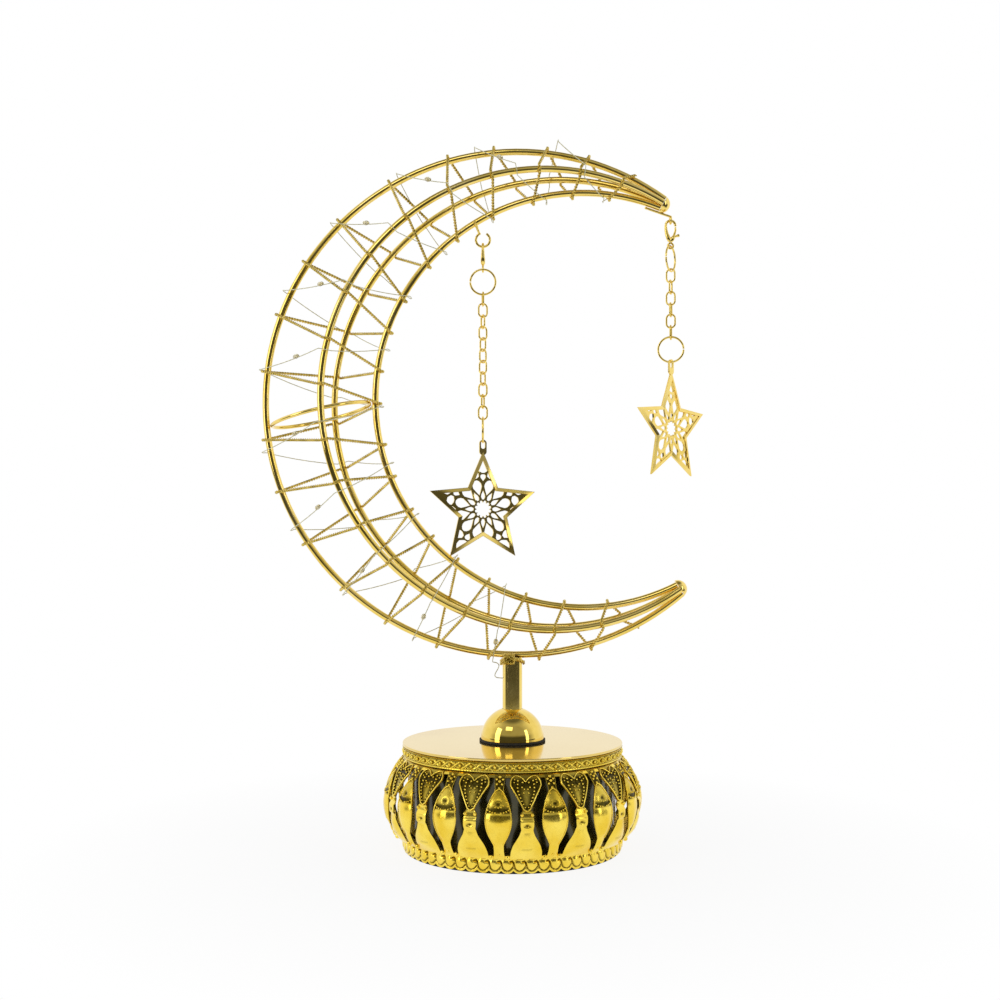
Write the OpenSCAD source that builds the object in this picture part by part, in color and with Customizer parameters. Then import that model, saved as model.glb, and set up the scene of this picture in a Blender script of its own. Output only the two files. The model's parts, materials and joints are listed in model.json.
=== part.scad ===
// Crescent ornament on a round pierced base, with two stars hung on chains.
// Millimetres. The origin is the middle of the foot pad's underside, on the table.
// +Z is up, and the crescent stands in the XZ plane with its open side towards +X.

/* [Base] */
// Radius of the flat top plate
plate_r = 54.4; // [53.8:0.1:54.6]
// Thickness of the top plate
plate_t = 1.2; // [0.8:0.1:1.6]
// Height of the base, from the table to the top of the plate
base_h = 52.3; // [51:0.1:55]
// Outer radius of the ornamental bands
band_r = 54.6; // [54:0.1:56]
// Wall of the ornamental bands
band_t = 1.2; // [1:0.1:1.5]
// Depth of the upper band
upper_band_h = 4.85; // [4:0.05:5.5]
// Height of the lower band's top edge above the table
lower_band_top = 7.6; // [6.5:0.1:8]
// How far the bulged gallery stands out past the ornamental bands
belly_out = 8.1; // [7:0.1:9]
// Thickness of the gallery's sheet
sheet_t = 0.7; // [0.5:0.05:0.9]
// Number of leaves in the gallery, with a slit at each side of each leaf
leaves = 15; // [12:1:16]
// Outer radius of the dark drum behind the gallery
drum_r = 51; // [50.5:0.1:51.5]
// Wall of the drum
drum_t = 1; // [0.8:0.1:1.2]
// Thickness of the foot pad
pad_t = 1.45; // [1.2:0.05:1.8]
// Thickness of the bottom plate
bottom_t = 1.6; // [1.4:0.1:2]

/* [Stem] */
// Outer diameter of the stem tube
stem_d = 9.8; // [9:0.1:10.4]
// Wall of the stem tube
stem_wall = 1; // [0.8:0.05:1.2]
// Outer radius of the dome cap round the foot of the stem
dome_r = 15.6; // [14:0.1:17]
// Wall of the dome cap
dome_t = 0.8; // [0.6:0.1:1]
// Thickness of the black gasket under the dome cap
gasket_t = 0.9; // [0.7:0.1:1.2]
// How far the gasket shows round the dome cap
gasket_lip = 0.75; // [0.4:0.05:1]
// Diameter of the threaded hollow rod that holds the stem down
rod_d = 6; // [5.6:0.1:6.4]

/* [Crescent] */
// Height of the middle of the chord between the two tips
chord_z = 223.9; // [222:0.1:226]
// Distance of the middle of that chord from the axis of the base
chord_x = 79.35; // [78:0.05:80]
// Half of the distance between the two tips
half_chord = 96.6; // [95.5:0.1:97.5]
// Lean of the chord towards -X, in degrees
lean = 2.34; // [2:0.02:2.6]
// Distance of the outer wire's belly from the chord
outer_belly = 202.6; // [201:0.1:204]
// Distance of the inner wire's belly from the chord
inner_belly = 147.8; // [146.5:0.1:149]
// Distance of the front and back wires' bellies from the chord, along their own planes
side_belly = 173.4; // [172:0.1:175]
// Distance of the front and back wires' bellies from the middle plane
side_depth = 27.4; // [26:0.1:29]
// Diameter of the four wires of the crescent
wire_d = 3.3; // [3:0.05:3.4]
// Distance of each wire from the middle of the bundle at a tip
bundle_r = 2.45; // [2.45:0.05:2.8]
// Centreline radius of the hoop that spreads the four wires
hoop_r = 24.8; // [24:0.1:25]
// Diameter of the hoop's wire
hoop_wire_d = 1.9; // [1.6:0.1:2.2]

/* [Windings] */
// Diameter of the twisted wire that is wound round the crescent
wrap_d = 1.7; // [1.4:0.05:1.9]
// Diameter of the light string's wire
light_wire_d = 0.6; // [0.5:0.05:0.8]
// Turns of the light string round the crescent
light_turns = 11; // [8:1:11]
// Diameter of one drop of the light string
drop_d = 2.4; // [2:0.1:3]
// Diameter of the thin wire wound round the top of the stem
binding_d = 1.2; // [1:0.05:1.3]
// Rise of one turn of that winding
binding_pitch = 1.7; // [1.7:0.05:1.9]

/* [Pendants] */
// Place of the left pendant along X
left_x = -14.7; // [-16:0.1:-13]
// Height of the middle of the left hook's eye
left_eye_z = 302.2; // [301:0.1:303]
// Centreline radius of the left hook's eye
left_eye_r = 3.5; // [3.2:0.1:3.8]
// Number of links in the left chain
left_links = 11; // [9:1:12]
// Place of the right pendant along X
right_x = 79.3; // [78.5:0.1:80]
// Height of the middle of the eye under the upper tip
right_eye_z = 312.15; // [311.5:0.05:312.5]
// Centreline radius of that eye
right_eye_r = 1.7; // [1.6:0.05:1.9]
// Number of links in the right chain
right_links = 6; // [5:1:9]
// Wire of the two hooks
hook_wire_d = 1.2; // [1:0.05:1.3]
// Length of a clasp, from the middle of its top wire to the middle of its eye's lower wire
clasp_len = 14; // [13:0.1:15]
// Centreline radius of the rings
ring_r = 6.3; // [6:0.1:6.6]
// Wire of the rings
ring_wire_d = 1; // [0.8:0.05:1.1]
// Length of a chain link, over all
link_len = 7.65; // [7.3:0.05:8]
// Width of a chain link, over all
link_w = 5.2; // [5:0.1:5.6]
// Wire of a chain link
link_wire_d = 0.9; // [0.8:0.05:1]

/* [Stars] */
// Distance of a star's points from its middle
star_r = 28.8; // [28:0.1:29.5]
// Distance of the corners between a star's arms from its middle
star_inner_r = 13.3; // [13:0.1:13.8]
// Thickness of a star's plate
star_t = 1; // [0.8:0.05:1.2]
// Distance of a star's middle under the wire of the ring that it hangs on
star_drop = 33.3; // [33:0.1:33.8]

/* [Hidden] */

// Gap between pieces that are seated on each other
gap = 0.15;
// Overrun of every cut past the face that it opens
over = 1;
// Number of sides that make a circle round
round_fn = 96;
wire_fn = 32;

// Heights and radii of the base, from the table up
bottom_z = pad_t + gap;
floor_z = bottom_z + bottom_t;
drum_z = floor_z + gap;
drum_top = base_h - plate_t - gap;
inner_r = drum_r - drum_t;
band_inner_r = band_r - band_t;
band_lift = 0.3;
drum_flange_w = 6;
plate_r_below = band_inner_r - gap;
gallery_z0 = lower_band_top + gap;
upper_band_z = drum_top - upper_band_h;
gallery_z1 = upper_band_z - gap;
collar_r = band_inner_r - gap;
collar_overlap = 0.7;

// The gallery's bulge, seen from the side: an arc over the belly that meets the collar
belly_height_share = 0.437;
gallery_r = band_r + belly_out;
bulge_z = mix(gallery_z0, gallery_z1, belly_height_share);
bulge_rise = gallery_z1 - bulge_z;
bulge_sag = gallery_r - collar_r + sheet_t / 2;
bulge_r = (bulge_rise * bulge_rise + bulge_sag * bulge_sag) / (2 * bulge_sag);

// Outline of one slit of the gallery, from the bottom up. Each place is a share of the
// gallery's height, and a share of the way round from a leaf's middle to the next fan's.
leaf_side_shares = [
    [0.04, 0.2], [0.1, 0.18], [0.17, 0.18], [0.25, 0.285], [0.3, 0.36], [0.4, 0.455], [0.5, 0.48],
    [0.6, 0.435], [0.7, 0.34], [0.8, 0.18], [0.83, 0.155], [0.88, 0.18], [0.95, 0.21]
];
fan_side_shares = [
    [0.95, 0.43], [0.91, 0.39], [0.87, 0.39], [0.8, 0.53], [0.7, 0.71], [0.65, 0.795], [0.6, 0.85],
    [0.56, 0.76], [0.42, 0.77], [0.37, 0.795], [0.3, 0.725], [0.25, 0.635], [0.17, 0.5], [0.04, 0.41]
];
// Azimuth of the leaf that is nearest the front, from the front towards +X
leaf_az = -6.4;

// Screws of the bottom plate
screw_az = [20, 160, 235, 305];
screw_ring_r = 47;
screw_shank_r = 1.3;
screw_head_r = 2.75;
screw_head_h = 1;
screw_len = 9.5;
screw_slot_w = 0.8;
screw_fit = 0.05;
plate_hole_fit = 0.3;
boss_r = 2.7;
boss_h = 10;
boss_step = 0.4;

// Battery compartment, open at the bottom behind its sliding door
cell_d = 10.5;
cell_len = 44.5;
cell_pitch = 11;
cells = 3;
cell_nub_d = 3.8;
cell_nub_h = 0.8;
case_t = 1.2;
case_half_x = 24.45;
case_y0 = 2.7;
case_y1 = 41.2;
case_h = 11.9;
door_travel = 5;
door_half_x = 22.85;
door_flange_t = 1;
door_play = 0.15;
window_half_x = door_half_x + door_play;
door_y0 = case_y0 + door_travel + door_play;
door_y1 = case_y1 - door_play;
door_ribs = 5;
rib_w = 1.2;
rib_depth = 0.5;
window_y1 = door_y1 + door_play - case_t;
window_y0 = case_y0 + case_t;
contact_t = 0.4;
contact_plate_w = 8;
spring_r = 2.6;
spring_wire_d = 0.7;
spring_curls = 3;
cells_mid_y = (door_y0 + door_y1) / 2;
cell_z = drum_z + door_flange_t + gap + cell_d / 2 + gap;
cell_x1 = case_half_x - 2 * gap - contact_t;
cell_x0 = cell_x1 - cell_len;

// Switch and the small board that drives the lights
switch_y = -38;
switch_len = 13;
switch_w = 7;
switch_h = 5.5;
switch_wall = 1;
switch_travel = 3;
knob_len = 3;
knob_w = 2.6;
knob_head_len = 5;
knob_head_w = 4.4;
knob_head_t = 1.2;
knob_play = 0.2;
knob_lift = 0.5;
driver_y = -22;
driver_len = 24;
driver_w = 12;
driver_board_t = 1.2;
driver_chip_len = 8;
driver_chip_w = 6;
driver_h = 5;

// Stem and its fastening
stem_bore_r = stem_d / 2 - stem_wall;
stem_z0 = base_h + gap;
nipple_h = 12;
nipple_bore_r = 1.5;
rod_play = 0.2;
rod_below = 8.5;
rod_z0 = base_h - plate_t - rod_below;
rod_len = rod_below + plate_t + nipple_h;
washer_r = 7;
washer_t = 1;
nut_flat_d = 11.5;
nut_h = 5;
dome_z = base_h + gap + gasket_t + gap;
stem_hole_r = 1.4;
stem_hole_rise = 31;
stem_hole_z = base_h + stem_hole_rise;
cope_share = 0.3;

// The four wires. Each is an arc in its own plane through the chord, given by the distance
// of the arc's centre from the chord, its radius, its half angle, the tilt of its plane and
// the plane's place in front of or behind the middle.
function arc_centre(belly, end) =
    (belly * belly - end[0] * end[0] - end[1] * end[1]) / (2 * (belly - end[0]));
function arc(belly, end, tilt, y) =
    let (c = arc_centre(belly, end))
    [c, belly - c, atan2(end[1], end[0] - c), tilt, y];
side_tilt = asin((side_depth - bundle_r) / side_belly);
side_arc = arc(side_belly, [0, half_chord], side_tilt, -bundle_r);
end_normal = [cos(side_arc[2]), sin(side_arc[2])];
outer_arc = arc(outer_belly, [0, half_chord] + bundle_r * end_normal, 0, 0);
inner_arc = arc(inner_belly, [0, half_chord] - bundle_r * end_normal, 0, 0);
front_arc = side_arc;
back_arc = arc(side_belly, [0, half_chord], -side_tilt, bundle_r);

// A direction and a point of the crescent's own frame (belly side, upper tip side, back)
function turned(v) = [
    -v[0] * cos(lean) - v[1] * sin(lean), v[2], -v[0] * sin(lean) + v[1] * cos(lean)
];
function placed(v) = [chord_x, 0, chord_z] + turned(v);

// Point of a wire's centreline and its direction, at a share of the way from the lower tip
function arc_angle(a, share) = (2 * share - 1) * a[2];
function tilted(a, p, q) = [p * cos(a[3]), q, -p * sin(a[3])];
function wire_point(a, share) =
    let (t = arc_angle(a, share))
    placed(tilted(a, a[0] + a[1] * cos(t), a[1] * sin(t)) + [0, 0, a[4]]);
function wire_dir(a, share) =
    let (t = arc_angle(a, share))
    turned(tilted(a, -sin(t), cos(t)));

// Height of the outer wire's centreline over the stem
outer_mid = placed([outer_arc[0], 0, 0]);
seat_z = outer_mid[2] - sqrt(pow(outer_arc[1], 2) - pow(outer_mid[0], 2));

// Where the twisted wire passes over the outer and the inner wire, as shares of their
// lengths from the lower tip. Read from the upper tip to the lower one.
outer_pass_shares = [
    0.967, 0.923, 0.886, 0.839, 0.798, 0.742, 0.686, 0.639, 0.587, 0.536,
    0.476, 0.429, 0.378, 0.327, 0.279, 0.23, 0.184, 0.14, 0.094, 0.048
];
inner_pass_shares = [
    0.937, 0.891, 0.842, 0.789, 0.737, 0.689, 0.637, 0.594, 0.545, 0.505,
    0.454, 0.413, 0.367, 0.325, 0.283, 0.237, 0.188, 0.14, 0.087
];
wrap_gap = 0.3;
wrap_off = wire_d / 2 + wrap_gap + wrap_d / 2;
light_off = wrap_off + wrap_d / 2 + wrap_gap + light_wire_d / 2;
corner_rings = 5;
light_corner_rings = 3;
tube_sides = 6;

// Light string: its first and last turns as shares of the wires' lengths
light_first_share = 0.18;
light_last_share = 0.965;
// Loose loop over the top of the crescent: its turn, and how far it stands off there
loose_turn = light_turns - 1;
loose_off = 3.2;
drop_len = 3.4;
drop_place_share = 0.62;
drop_sides = 8;
// Outline of a drop: places along it, and radii there as shares of its own radius
drop_outline_shares = [[-0.5, 0.5], [-0.32, 0.84], [0, 1], [0.32, 0.84], [0.5, 0.5]];

// Hoop: its places on the outer and the inner wire, and the tilt of its front side up
hoop_outer_share = 0.486;
hoop_inner_share = 0.5075;
hoop_pitch = -1;
weld_r = 3.9;
weld_h = 3.2;
weld_gap = 0.3;

// Hooks
hook_share = 0.766;
hook_curl = 200;
eye_open = 60;
eyelet_root_x = 67;
bend_ball_d = hook_wire_d + gap;
left_eye_top = left_eye_z - left_eye_r;
right_eye_top = right_eye_z - right_eye_r;

// Clasp, measured from the middle of the wire that it hangs on
clasp_wire_d = 1.3;
clasp_arch_r = 2.4;
clasp_eye_wire_d = 1.1;
clasp_eye_r = 1.35;
clasp_body_r = 2.5;
clasp_body_t = 2.6;
clasp_slot_w = 1.2;
clasp_body_z = -7.9;
lever_t = 0.8;
lever_w = 1.1;
lever_pin_x = 1.1;
lever_pin_z = -7.7;
lever_pin_r = 0.6;
lever_fit = 0.08;
lever_nub_r = 0.9;
lever_nub_x = 4.1;
lever_nub_z = -6.1;
clasp_top = hook_wire_d / 2 + gap + clasp_wire_d / 2;
clasp_arch_z = clasp_top - clasp_arch_r;
clasp_bar_z = clasp_top - clasp_len;
clasp_drop = clasp_bar_z - clasp_eye_wire_d / 2 - gap - ring_wire_d / 2;

// Heights down the pendants: each pivot is the middle of the wire that the next piece hangs on
bar_to_ring = clasp_eye_wire_d / 2 + gap + ring_wire_d / 2;
ring_to_link = ring_wire_d / 2 + gap + link_wire_d / 2;
link_reach = link_len - link_wire_d;
link_pitch = link_reach - link_wire_d - gap;
link_arc_r = (link_w - link_wire_d) / 2;
ring_open = 4;
function ring_mid(top) = top + clasp_bar_z + bar_to_ring - ring_r;
function link_mid(top, k) =
    ring_mid(top) - ring_r + ring_to_link - link_reach / 2 - (k - 1) * link_pitch;
function star_ring_mid(top, n) =
    link_mid(top, n) - link_reach / 2 + ring_to_link - ring_r;
function star_mid(top, n) = star_ring_mid(top, n) - ring_r - star_drop;

// Turns of the hanging pieces about Z, where 0 faces the front
left_link_turn = 97.5;
right_ring_yaw = 62;
right_link_turn = 92.3;
right_star_ring_yaw = 168;
right_star_yaw = 47;
left_star_ring_yaw = 90;
left_star_yaw = 18;

// Piercing of a star: a rosette of twelve, cut off by the star's plain border. An outline
// is half of a cell, as pairs of the distance from the star's middle and the half width,
// both as shares of the star's reach.
points = 5;
rosette = 12;
border_w = 1.8;
hub_shares = [0.118, 0.125, 0.026];
petal_shares = [[0.17, 0.018], [0.215, 0.038], [0.255, 0.032], [0.327, 0]];
tear_shares = [
    [0.245, 0], [0.32, 0.045], [0.39, 0.082], [0.44, 0.08], [0.485, 0.055], [0.51, 0.02]
];
kite_shares = [[0.487, 0], [0.545, 0.046], [0.58, 0.05], [0.603, 0.025]];
cell_shares = [[0.54, 0.02], [0.565, 0.075], [0.62, 0.08], [0.67, 0.03]];
tip_shares = [[0.63, 0.02], [0.645, 0.05], [0.68, 0.105], [0.76, 0.12], [0.87, 0.05]];
pip_shares = [0.42, 0.018];
eye_w = 3.7;
eye_wall = 0.75;
eye_rise = 1.6;
star_eye_top = ring_wire_d / 2 + gap + eye_wall;

// Sweeping of a round tube along points
function unit(v) = v / norm(v);
function mix(a, b, t) = a * (1 - t) + b * t;
function swing(a, b, t) =
    let (w = acos(min(1, a * b)))
    w < 0.01 ? a : (a * sin((1 - t) * w) + b * sin(t * w)) / sin(w);
function tangents(p) = [
    for (i = [0:len(p) - 1]) unit(p[min(i + 1, len(p) - 1)] - p[max(i - 1, 0)])
];
function across(t) = unit(cross(t, abs(t[1]) < 0.9 ? [0, 1, 0] : [1, 0, 0]));
function square_to(u, t) = unit(u - (u * t) * t);
function frames(t) = [
    for (i = 0, u = across(t[0]); i < len(t); i = i + 1, u = square_to(u, t[min(i, len(t) - 1)])) u
];
module tube(p, d, sides = tube_sides) {
    t = tangents(p);
    u = frames(t);
    n = len(p);
    rings = [
        for (i = [0:n - 1], j = [0:sides - 1])
            let (a = 360 * j / sides)
            p[i] + d / 2 * (cos(a) * u[i] + sin(a) * cross(t[i], u[i]))
    ];
    walls = [
        for (i = [0:n - 2], j = [0:sides - 1], half = [0, 1])
            let (a = i * sides + j, b = i * sides + (j + 1) % sides)
            half == 0 ? [b + sides, b, a] : [a + sides, b + sides, a]
    ];
    ends = [
        for (j = [1:sides - 2], end = [0, 1])
            let (e = (n - 1) * sides)
            end == 0 ? [0, j, j + 1] : [e, e + j + 1, e + j]
    ];
    polyhedron(concat(walls == [] ? [] : rings), concat(walls, ends), convexity = 10);
}

// Least free gap between stretches of a tube that are not neighbours along it
function finer(p) = [
    for (i = [0:len(p) - 2], s = [0:3]) mix(p[i], p[i + 1], s / 4)
];
function least_gap(p, d, apart) =
    let (q = finer(p))
    min([for (i = [0:len(q) - 1], j = [i + 1:len(q) - 1]) if (j > i + apart) norm(q[i] - q[j])]) - d;

// Route of a wire that is wound round the crescent. Each stop is a crossing of one of the
// four wires: the crossing's place, the wire's direction there, and the stand-off.
function stop_at(a, share, off) = [wire_point(a, share), wire_dir(a, share), off];
function outward(a, b) = unit(cross(unit(b[0] - a[0]), unit(a[1] + b[1])));
function corner(stops, k, rings) =
    let (
        n = len(stops) - 1,
        before = outward(stops[max(k - 1, 0)], stops[max(k, 1)]),
        after = outward(stops[min(k, n - 1)], stops[min(k + 1, n)])
    )
    [for (i = [0:rings - 1]) stops[k][0] + stops[k][2] * swing(before, after, i / (rings - 1))];
function straight_end(stops, k) =
    let (
        n = len(stops) - 1,
        side = outward(stops[k == 0 ? 0 : n - 1], stops[k == 0 ? 1 : n])
    )
    stops[k][0] + stops[k][2] * side;
function wound(stops, rings) = [
    for (k = [1:len(stops) - 2]) each corner(stops, k, rings)
];
wrap_stops = [
    for (i = [0:len(inner_pass_shares) - 1])
        let (o = outer_pass_shares[i], n = inner_pass_shares[i], next = outer_pass_shares[i + 1])
        each [
            stop_at(outer_arc, o, wrap_off),
            stop_at(front_arc, (o + n) / 2, wrap_off),
            stop_at(inner_arc, n, wrap_off),
            stop_at(back_arc, (n + next) / 2, wrap_off)
        ],
    stop_at(outer_arc, outer_pass_shares[len(outer_pass_shares) - 1], wrap_off)
];
function wrap_route() =
    let (n = len(wrap_stops) - 1)
    concat(
        [straight_end(wrap_stops, 0)], wound(wrap_stops, corner_rings), [straight_end(wrap_stops, n)]
    );

function light_share(step) =
    light_first_share + (light_last_share - light_first_share) * step / (4 * light_turns);
function light_stand(step) = light_off + (step == 4 * loose_turn ? loose_off : 0);
light_arcs = [outer_arc, front_arc, inner_arc, back_arc];
light_stops = [
    for (step = [0:4 * light_turns]) stop_at(light_arcs[step % 4], light_share(step), light_stand(step))
];
// Feed of the light string: up from the board, through the rod and the stem, out of the
// stem's side hole and on to the underside of the outer wire
function bezier(a, b, c, d, t) =
    mix(mix(mix(a, b, t), mix(b, c, t), t), mix(mix(b, c, t), mix(c, d, t), t), t);
feed_steps = 6;
feed_bend = 9;
feed_z0 = drum_z + driver_h + gap;
feed_turn = [0, 0, stem_hole_z];
feed_exit = feed_turn - [stem_d / 2 + light_wire_d, 0, 0];
feed_end = light_stops[0][0] + light_off * across(light_stops[0][1]);
light_feed = concat(
    [
        for (i = [0:feed_steps])
            [0, driver_y * (1 + cos(180 * i / feed_steps)) / 2, mix(feed_z0, rod_z0, i / feed_steps)]
    ],
    [
        for (i = [0:feed_steps])
            bezier(feed_turn - [0, 0, feed_bend], feed_turn, feed_turn, feed_exit, i / feed_steps)
    ],
    [
        for (i = [1:feed_steps])
            bezier(
                feed_exit, feed_exit - [feed_bend, 0, 0],
                feed_end - feed_bend * light_stops[0][1], feed_end, i / feed_steps
            )
    ]
);
function light_route() =
    let (n = len(light_stops) - 1)
    concat(
        light_feed,
        [straight_end(light_stops, 0)],
        wound(light_stops, light_corner_rings),
        [straight_end(light_stops, n)]
    );

function coil_route(r, z0, pitch, turns, per_turn) = [
    for (i = [0:turns * per_turn]) [
        r * cos(360 * i / per_turn), r * sin(360 * i / per_turn), z0 + pitch * i / per_turn
    ]
];
binding_turns = 3;
binding_r = stem_d / 2 + wrap_gap + binding_d / 2;
binding_z = seat_z - wire_d / 2 - 2 * gap - binding_d / 2 - binding_turns * binding_pitch;

module ring_shape(r, d, open = 0) {
    rotate([90, 0, 0]) rotate([0, 0, 180 + open / 2])
        rotate_extrude(angle = 360 - open, $fn = round_fn) translate([r, 0]) circle(d = d, $fn = wire_fn);
}
module bar(a, b, d) {
    v = b - a;
    translate(a) rotate([0, acos(v[2] / norm(v)), atan2(v[1], v[0])])
        cylinder(d = d, h = norm(v), $fn = wire_fn);
}
module joint_ball(p, d) {
    translate(p) sphere(d = d, $fn = wire_fn);
}
module disc(r, t, z) {
    translate([0, 0, z]) cylinder(r = r, h = t, $fn = round_fn);
}
module hoop_band(r_out, r_in, z0, z1) {
    difference() {
        disc(r_out, z1 - z0, z0);
        disc(r_in, z1 - z0 + 2 * over, z0 - over);
    }
}
module box_between(a, b) {
    translate(a) cube(b - a);
}

// Base
module top_plate() {
    color("gold") difference() {
        disc(plate_r, plate_t, base_h - plate_t);
        disc(rod_d / 2 + rod_play, plate_t + 2 * over, base_h - plate_t - over);
    }
}

module upper_band() {
    color("goldenrod") hoop_band(band_r, band_inner_r, upper_band_z, drum_top);
}

module bulge(r) {
    translate([gallery_r - bulge_r, bulge_z]) circle(r = r, $fn = round_fn);
}
module gallery_profile() {
    difference() {
        intersection() {
            bulge(bulge_r);
            translate([gallery_r - bulge_r, gallery_z0]) square([bulge_r, gallery_z1 - gallery_z0]);
        }
        bulge(bulge_r - sheet_t);
    }
    intersection() {
        bulge(bulge_r - sheet_t / 2);
        translate([drum_r + 2 * gap, gallery_z0]) square([bulge_r, sheet_t]);
    }
    translate([collar_r - sheet_t, gallery_z1 - collar_overlap])
        square([sheet_t, drum_top - gallery_z1 + collar_overlap]);
}
module slit_outline() {
    half_pitch = PI * gallery_r / leaves;
    height = gallery_z1 - gallery_z0;
    polygon([
        for (s = concat(leaf_side_shares, fan_side_shares))
            [(s[1] - 0.5) * half_pitch, gallery_z0 + s[0] * height]
    ]);
}
module slit(az, side) {
    rotate([0, 0, az]) translate([0, -drum_r - gap, 0]) rotate([90, 0, 0])
        linear_extrude(gallery_r - drum_r + over) mirror([side, 0, 0]) slit_outline();
}
module gallery_band() {
    color("gold") difference() {
        rotate_extrude($fn = round_fn) gallery_profile();
        for (k = [0:leaves - 1], side = [0, 1])
            slit(leaf_az + 360 / leaves * (k + (side == 0 ? 0.25 : -0.25)), side);
    }
}

module lower_band() {
    color("goldenrod") hoop_band(band_r, band_inner_r, band_lift, lower_band_top);
}

module around_screws(r = screw_ring_r) {
    for (az = screw_az) rotate([0, 0, az]) translate([r, 0, 0]) children();
}
module screw_boss() {
    cylinder(r = boss_r, h = boss_h, $fn = wire_fn);
    translate([0, -boss_r / 2, boss_step])
        cube([inner_r + drum_t / 2 - screw_ring_r, boss_r, boss_h - 2 * boss_step]);
}
module drum_profile() {
    polygon([
        [inner_r, drum_z], [drum_r, drum_z], [drum_r, drum_top], [inner_r - drum_flange_w, drum_top],
        [inner_r - drum_flange_w, drum_top - drum_t], [inner_r, drum_top - drum_t]
    ]);
}
module inner_drum() {
    color("#3c3c14") {
        difference() {
            union() {
                rotate_extrude($fn = round_fn) drum_profile();
                around_screws() translate([0, 0, drum_z]) screw_boss();
            }
            around_screws() translate([0, 0, drum_z - over])
                cylinder(r = screw_shank_r + screw_fit, h = screw_len + over, $fn = wire_fn);
        }
    }
}

module bottom_plate() {
    color("#e8c850") difference() {
        disc(plate_r_below, bottom_t, bottom_z);
        box_between(
            [-window_half_x, window_y0, bottom_z - over], [window_half_x, window_y1, floor_z + over]
        );
        knob_slot(knob_play, bottom_z, floor_z);
        around_screws() translate([0, 0, bottom_z - over])
            cylinder(r = screw_shank_r + plate_hole_fit, h = bottom_t + 2 * over, $fn = wire_fn);
    }
}

module bottom_screws() {
    color("silver") around_screws() translate([0, 0, pad_t - screw_head_h]) {
        difference() {
            cylinder(r = screw_head_r, h = screw_head_h, $fn = wire_fn);
            for (a = [0, 90]) rotate([0, 0, a])
                translate([-screw_head_r / 2, -screw_slot_w / 2, -screw_head_h / 2])
                    cube([screw_head_r, screw_slot_w, screw_head_h]);
        }
        translate([0, 0, screw_head_h / 2])
            cylinder(r = screw_shank_r, h = screw_len, $fn = wire_fn);
    }
}

module knob_slot(play, z0, z1) {
    half_x = (knob_len + switch_travel) / 2 + play;
    half_y = knob_w / 2 + play;
    box_between([-half_x, switch_y - half_y, z0 - over], [half_x, switch_y + half_y, z1 + over]);
}

module foot_pad() {
    color("#2a2a2a") difference() {
        disc(plate_r_below, pad_t, 0);
        box_between(
            [-window_half_x - gap, window_y0 - gap, -over],
            [window_half_x + gap, window_y1 + gap, pad_t + over]
        );
        knob_slot(knob_play + knob_len / 2, 0, pad_t);
        around_screws() translate([0, 0, -over])
            cylinder(r = screw_head_r + plate_hole_fit, h = pad_t + 2 * over, $fn = wire_fn);
    }
}

module battery_case() {
    color("#222222") difference() {
        box_between(
            [-case_half_x - case_t, case_y0 - case_t, drum_z],
            [case_half_x + case_t, case_y1 + case_t, drum_z + case_h + case_t]
        );
        box_between(
            [-case_half_x, case_y0, drum_z - over], [case_half_x, case_y1, drum_z + case_h]
        );
    }
}

module along_cells() {
    for (k = [0:cells - 1])
        translate([0, cells_mid_y + (k - (cells - 1) / 2) * cell_pitch, cell_z]) children();
}
module batteries() {
    color("#c05020") along_cells() rotate([0, 90, 0]) {
        translate([0, 0, cell_x0]) cylinder(d = cell_d, h = cell_len - cell_nub_h, $fn = round_fn);
        translate([0, 0, cell_x0]) cylinder(d = cell_nub_d, h = cell_len, $fn = round_fn);
    }
}

module battery_contacts() {
    color("silver") along_cells() {
        translate([cell_x1 + gap, -contact_plate_w / 2, -contact_plate_w / 2])
            cube([contact_t, contact_plate_w, contact_plate_w]);
        translate([gap - case_half_x, -contact_plate_w / 2, -contact_plate_w / 2])
            cube([contact_t, contact_plate_w, contact_plate_w]);
        spring_x = gap - case_half_x + contact_t;
        room = cell_x0 - gap - spring_x - spring_wire_d;
        translate([spring_x + spring_wire_d / 2, 0, 0]) rotate([0, 90, 0])
            tube(coil_route(spring_r, 0, room / spring_curls, spring_curls, 8), spring_wire_d);
    }
}

module battery_door() {
    color("#e8c850") difference() {
        union() {
            box_between(
                [-door_half_x, door_y0 + case_t, bottom_z],
                [door_half_x, window_y1 - door_play, drum_z + door_flange_t / 2]
            );
            box_between(
                [-case_half_x + door_play, door_y0, drum_z],
                [case_half_x - door_play, door_y1, drum_z + door_flange_t]
            );
        }
        for (k = [1:door_ribs])
            translate([-door_half_x / 2, door_y0 + k * (rib_w + case_t) + case_t, bottom_z - rib_depth])
                cube([door_half_x, rib_w, 2 * rib_depth]);
    }
}

module switch_body() {
    half = [switch_len / 2, switch_w / 2, 0];
    cavity = half - [switch_wall, switch_wall, 0];
    color("#222222") translate([0, switch_y, drum_z]) difference() {
        box_between(-half, half + [0, 0, switch_h]);
        box_between(-cavity - [0, 0, over], cavity + [0, 0, switch_h - switch_wall]);
    }
}

module switch_knob() {
    stem_top = drum_z + switch_wall;
    color("#111111") translate([-switch_travel / 2, switch_y, 0]) {
        box_between([-knob_len / 2, -knob_w / 2, knob_lift], [knob_len / 2, knob_w / 2, stem_top]);
        box_between(
            [-knob_head_len / 2, -knob_head_w / 2, drum_z + gap],
            [knob_head_len / 2, knob_head_w / 2, drum_z + gap + knob_head_t]
        );
    }
}

module light_driver() {
    color("#1f6b3a") translate([0, driver_y, drum_z]) {
        box_between([-driver_len / 2, -driver_w / 2, 0], [driver_len / 2, driver_w / 2, driver_board_t]);
        box_between(
            [-driver_chip_len / 2, -driver_chip_w / 2, driver_board_t / 2],
            [driver_chip_len / 2, driver_chip_w / 2, driver_h]
        );
    }
}

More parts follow.
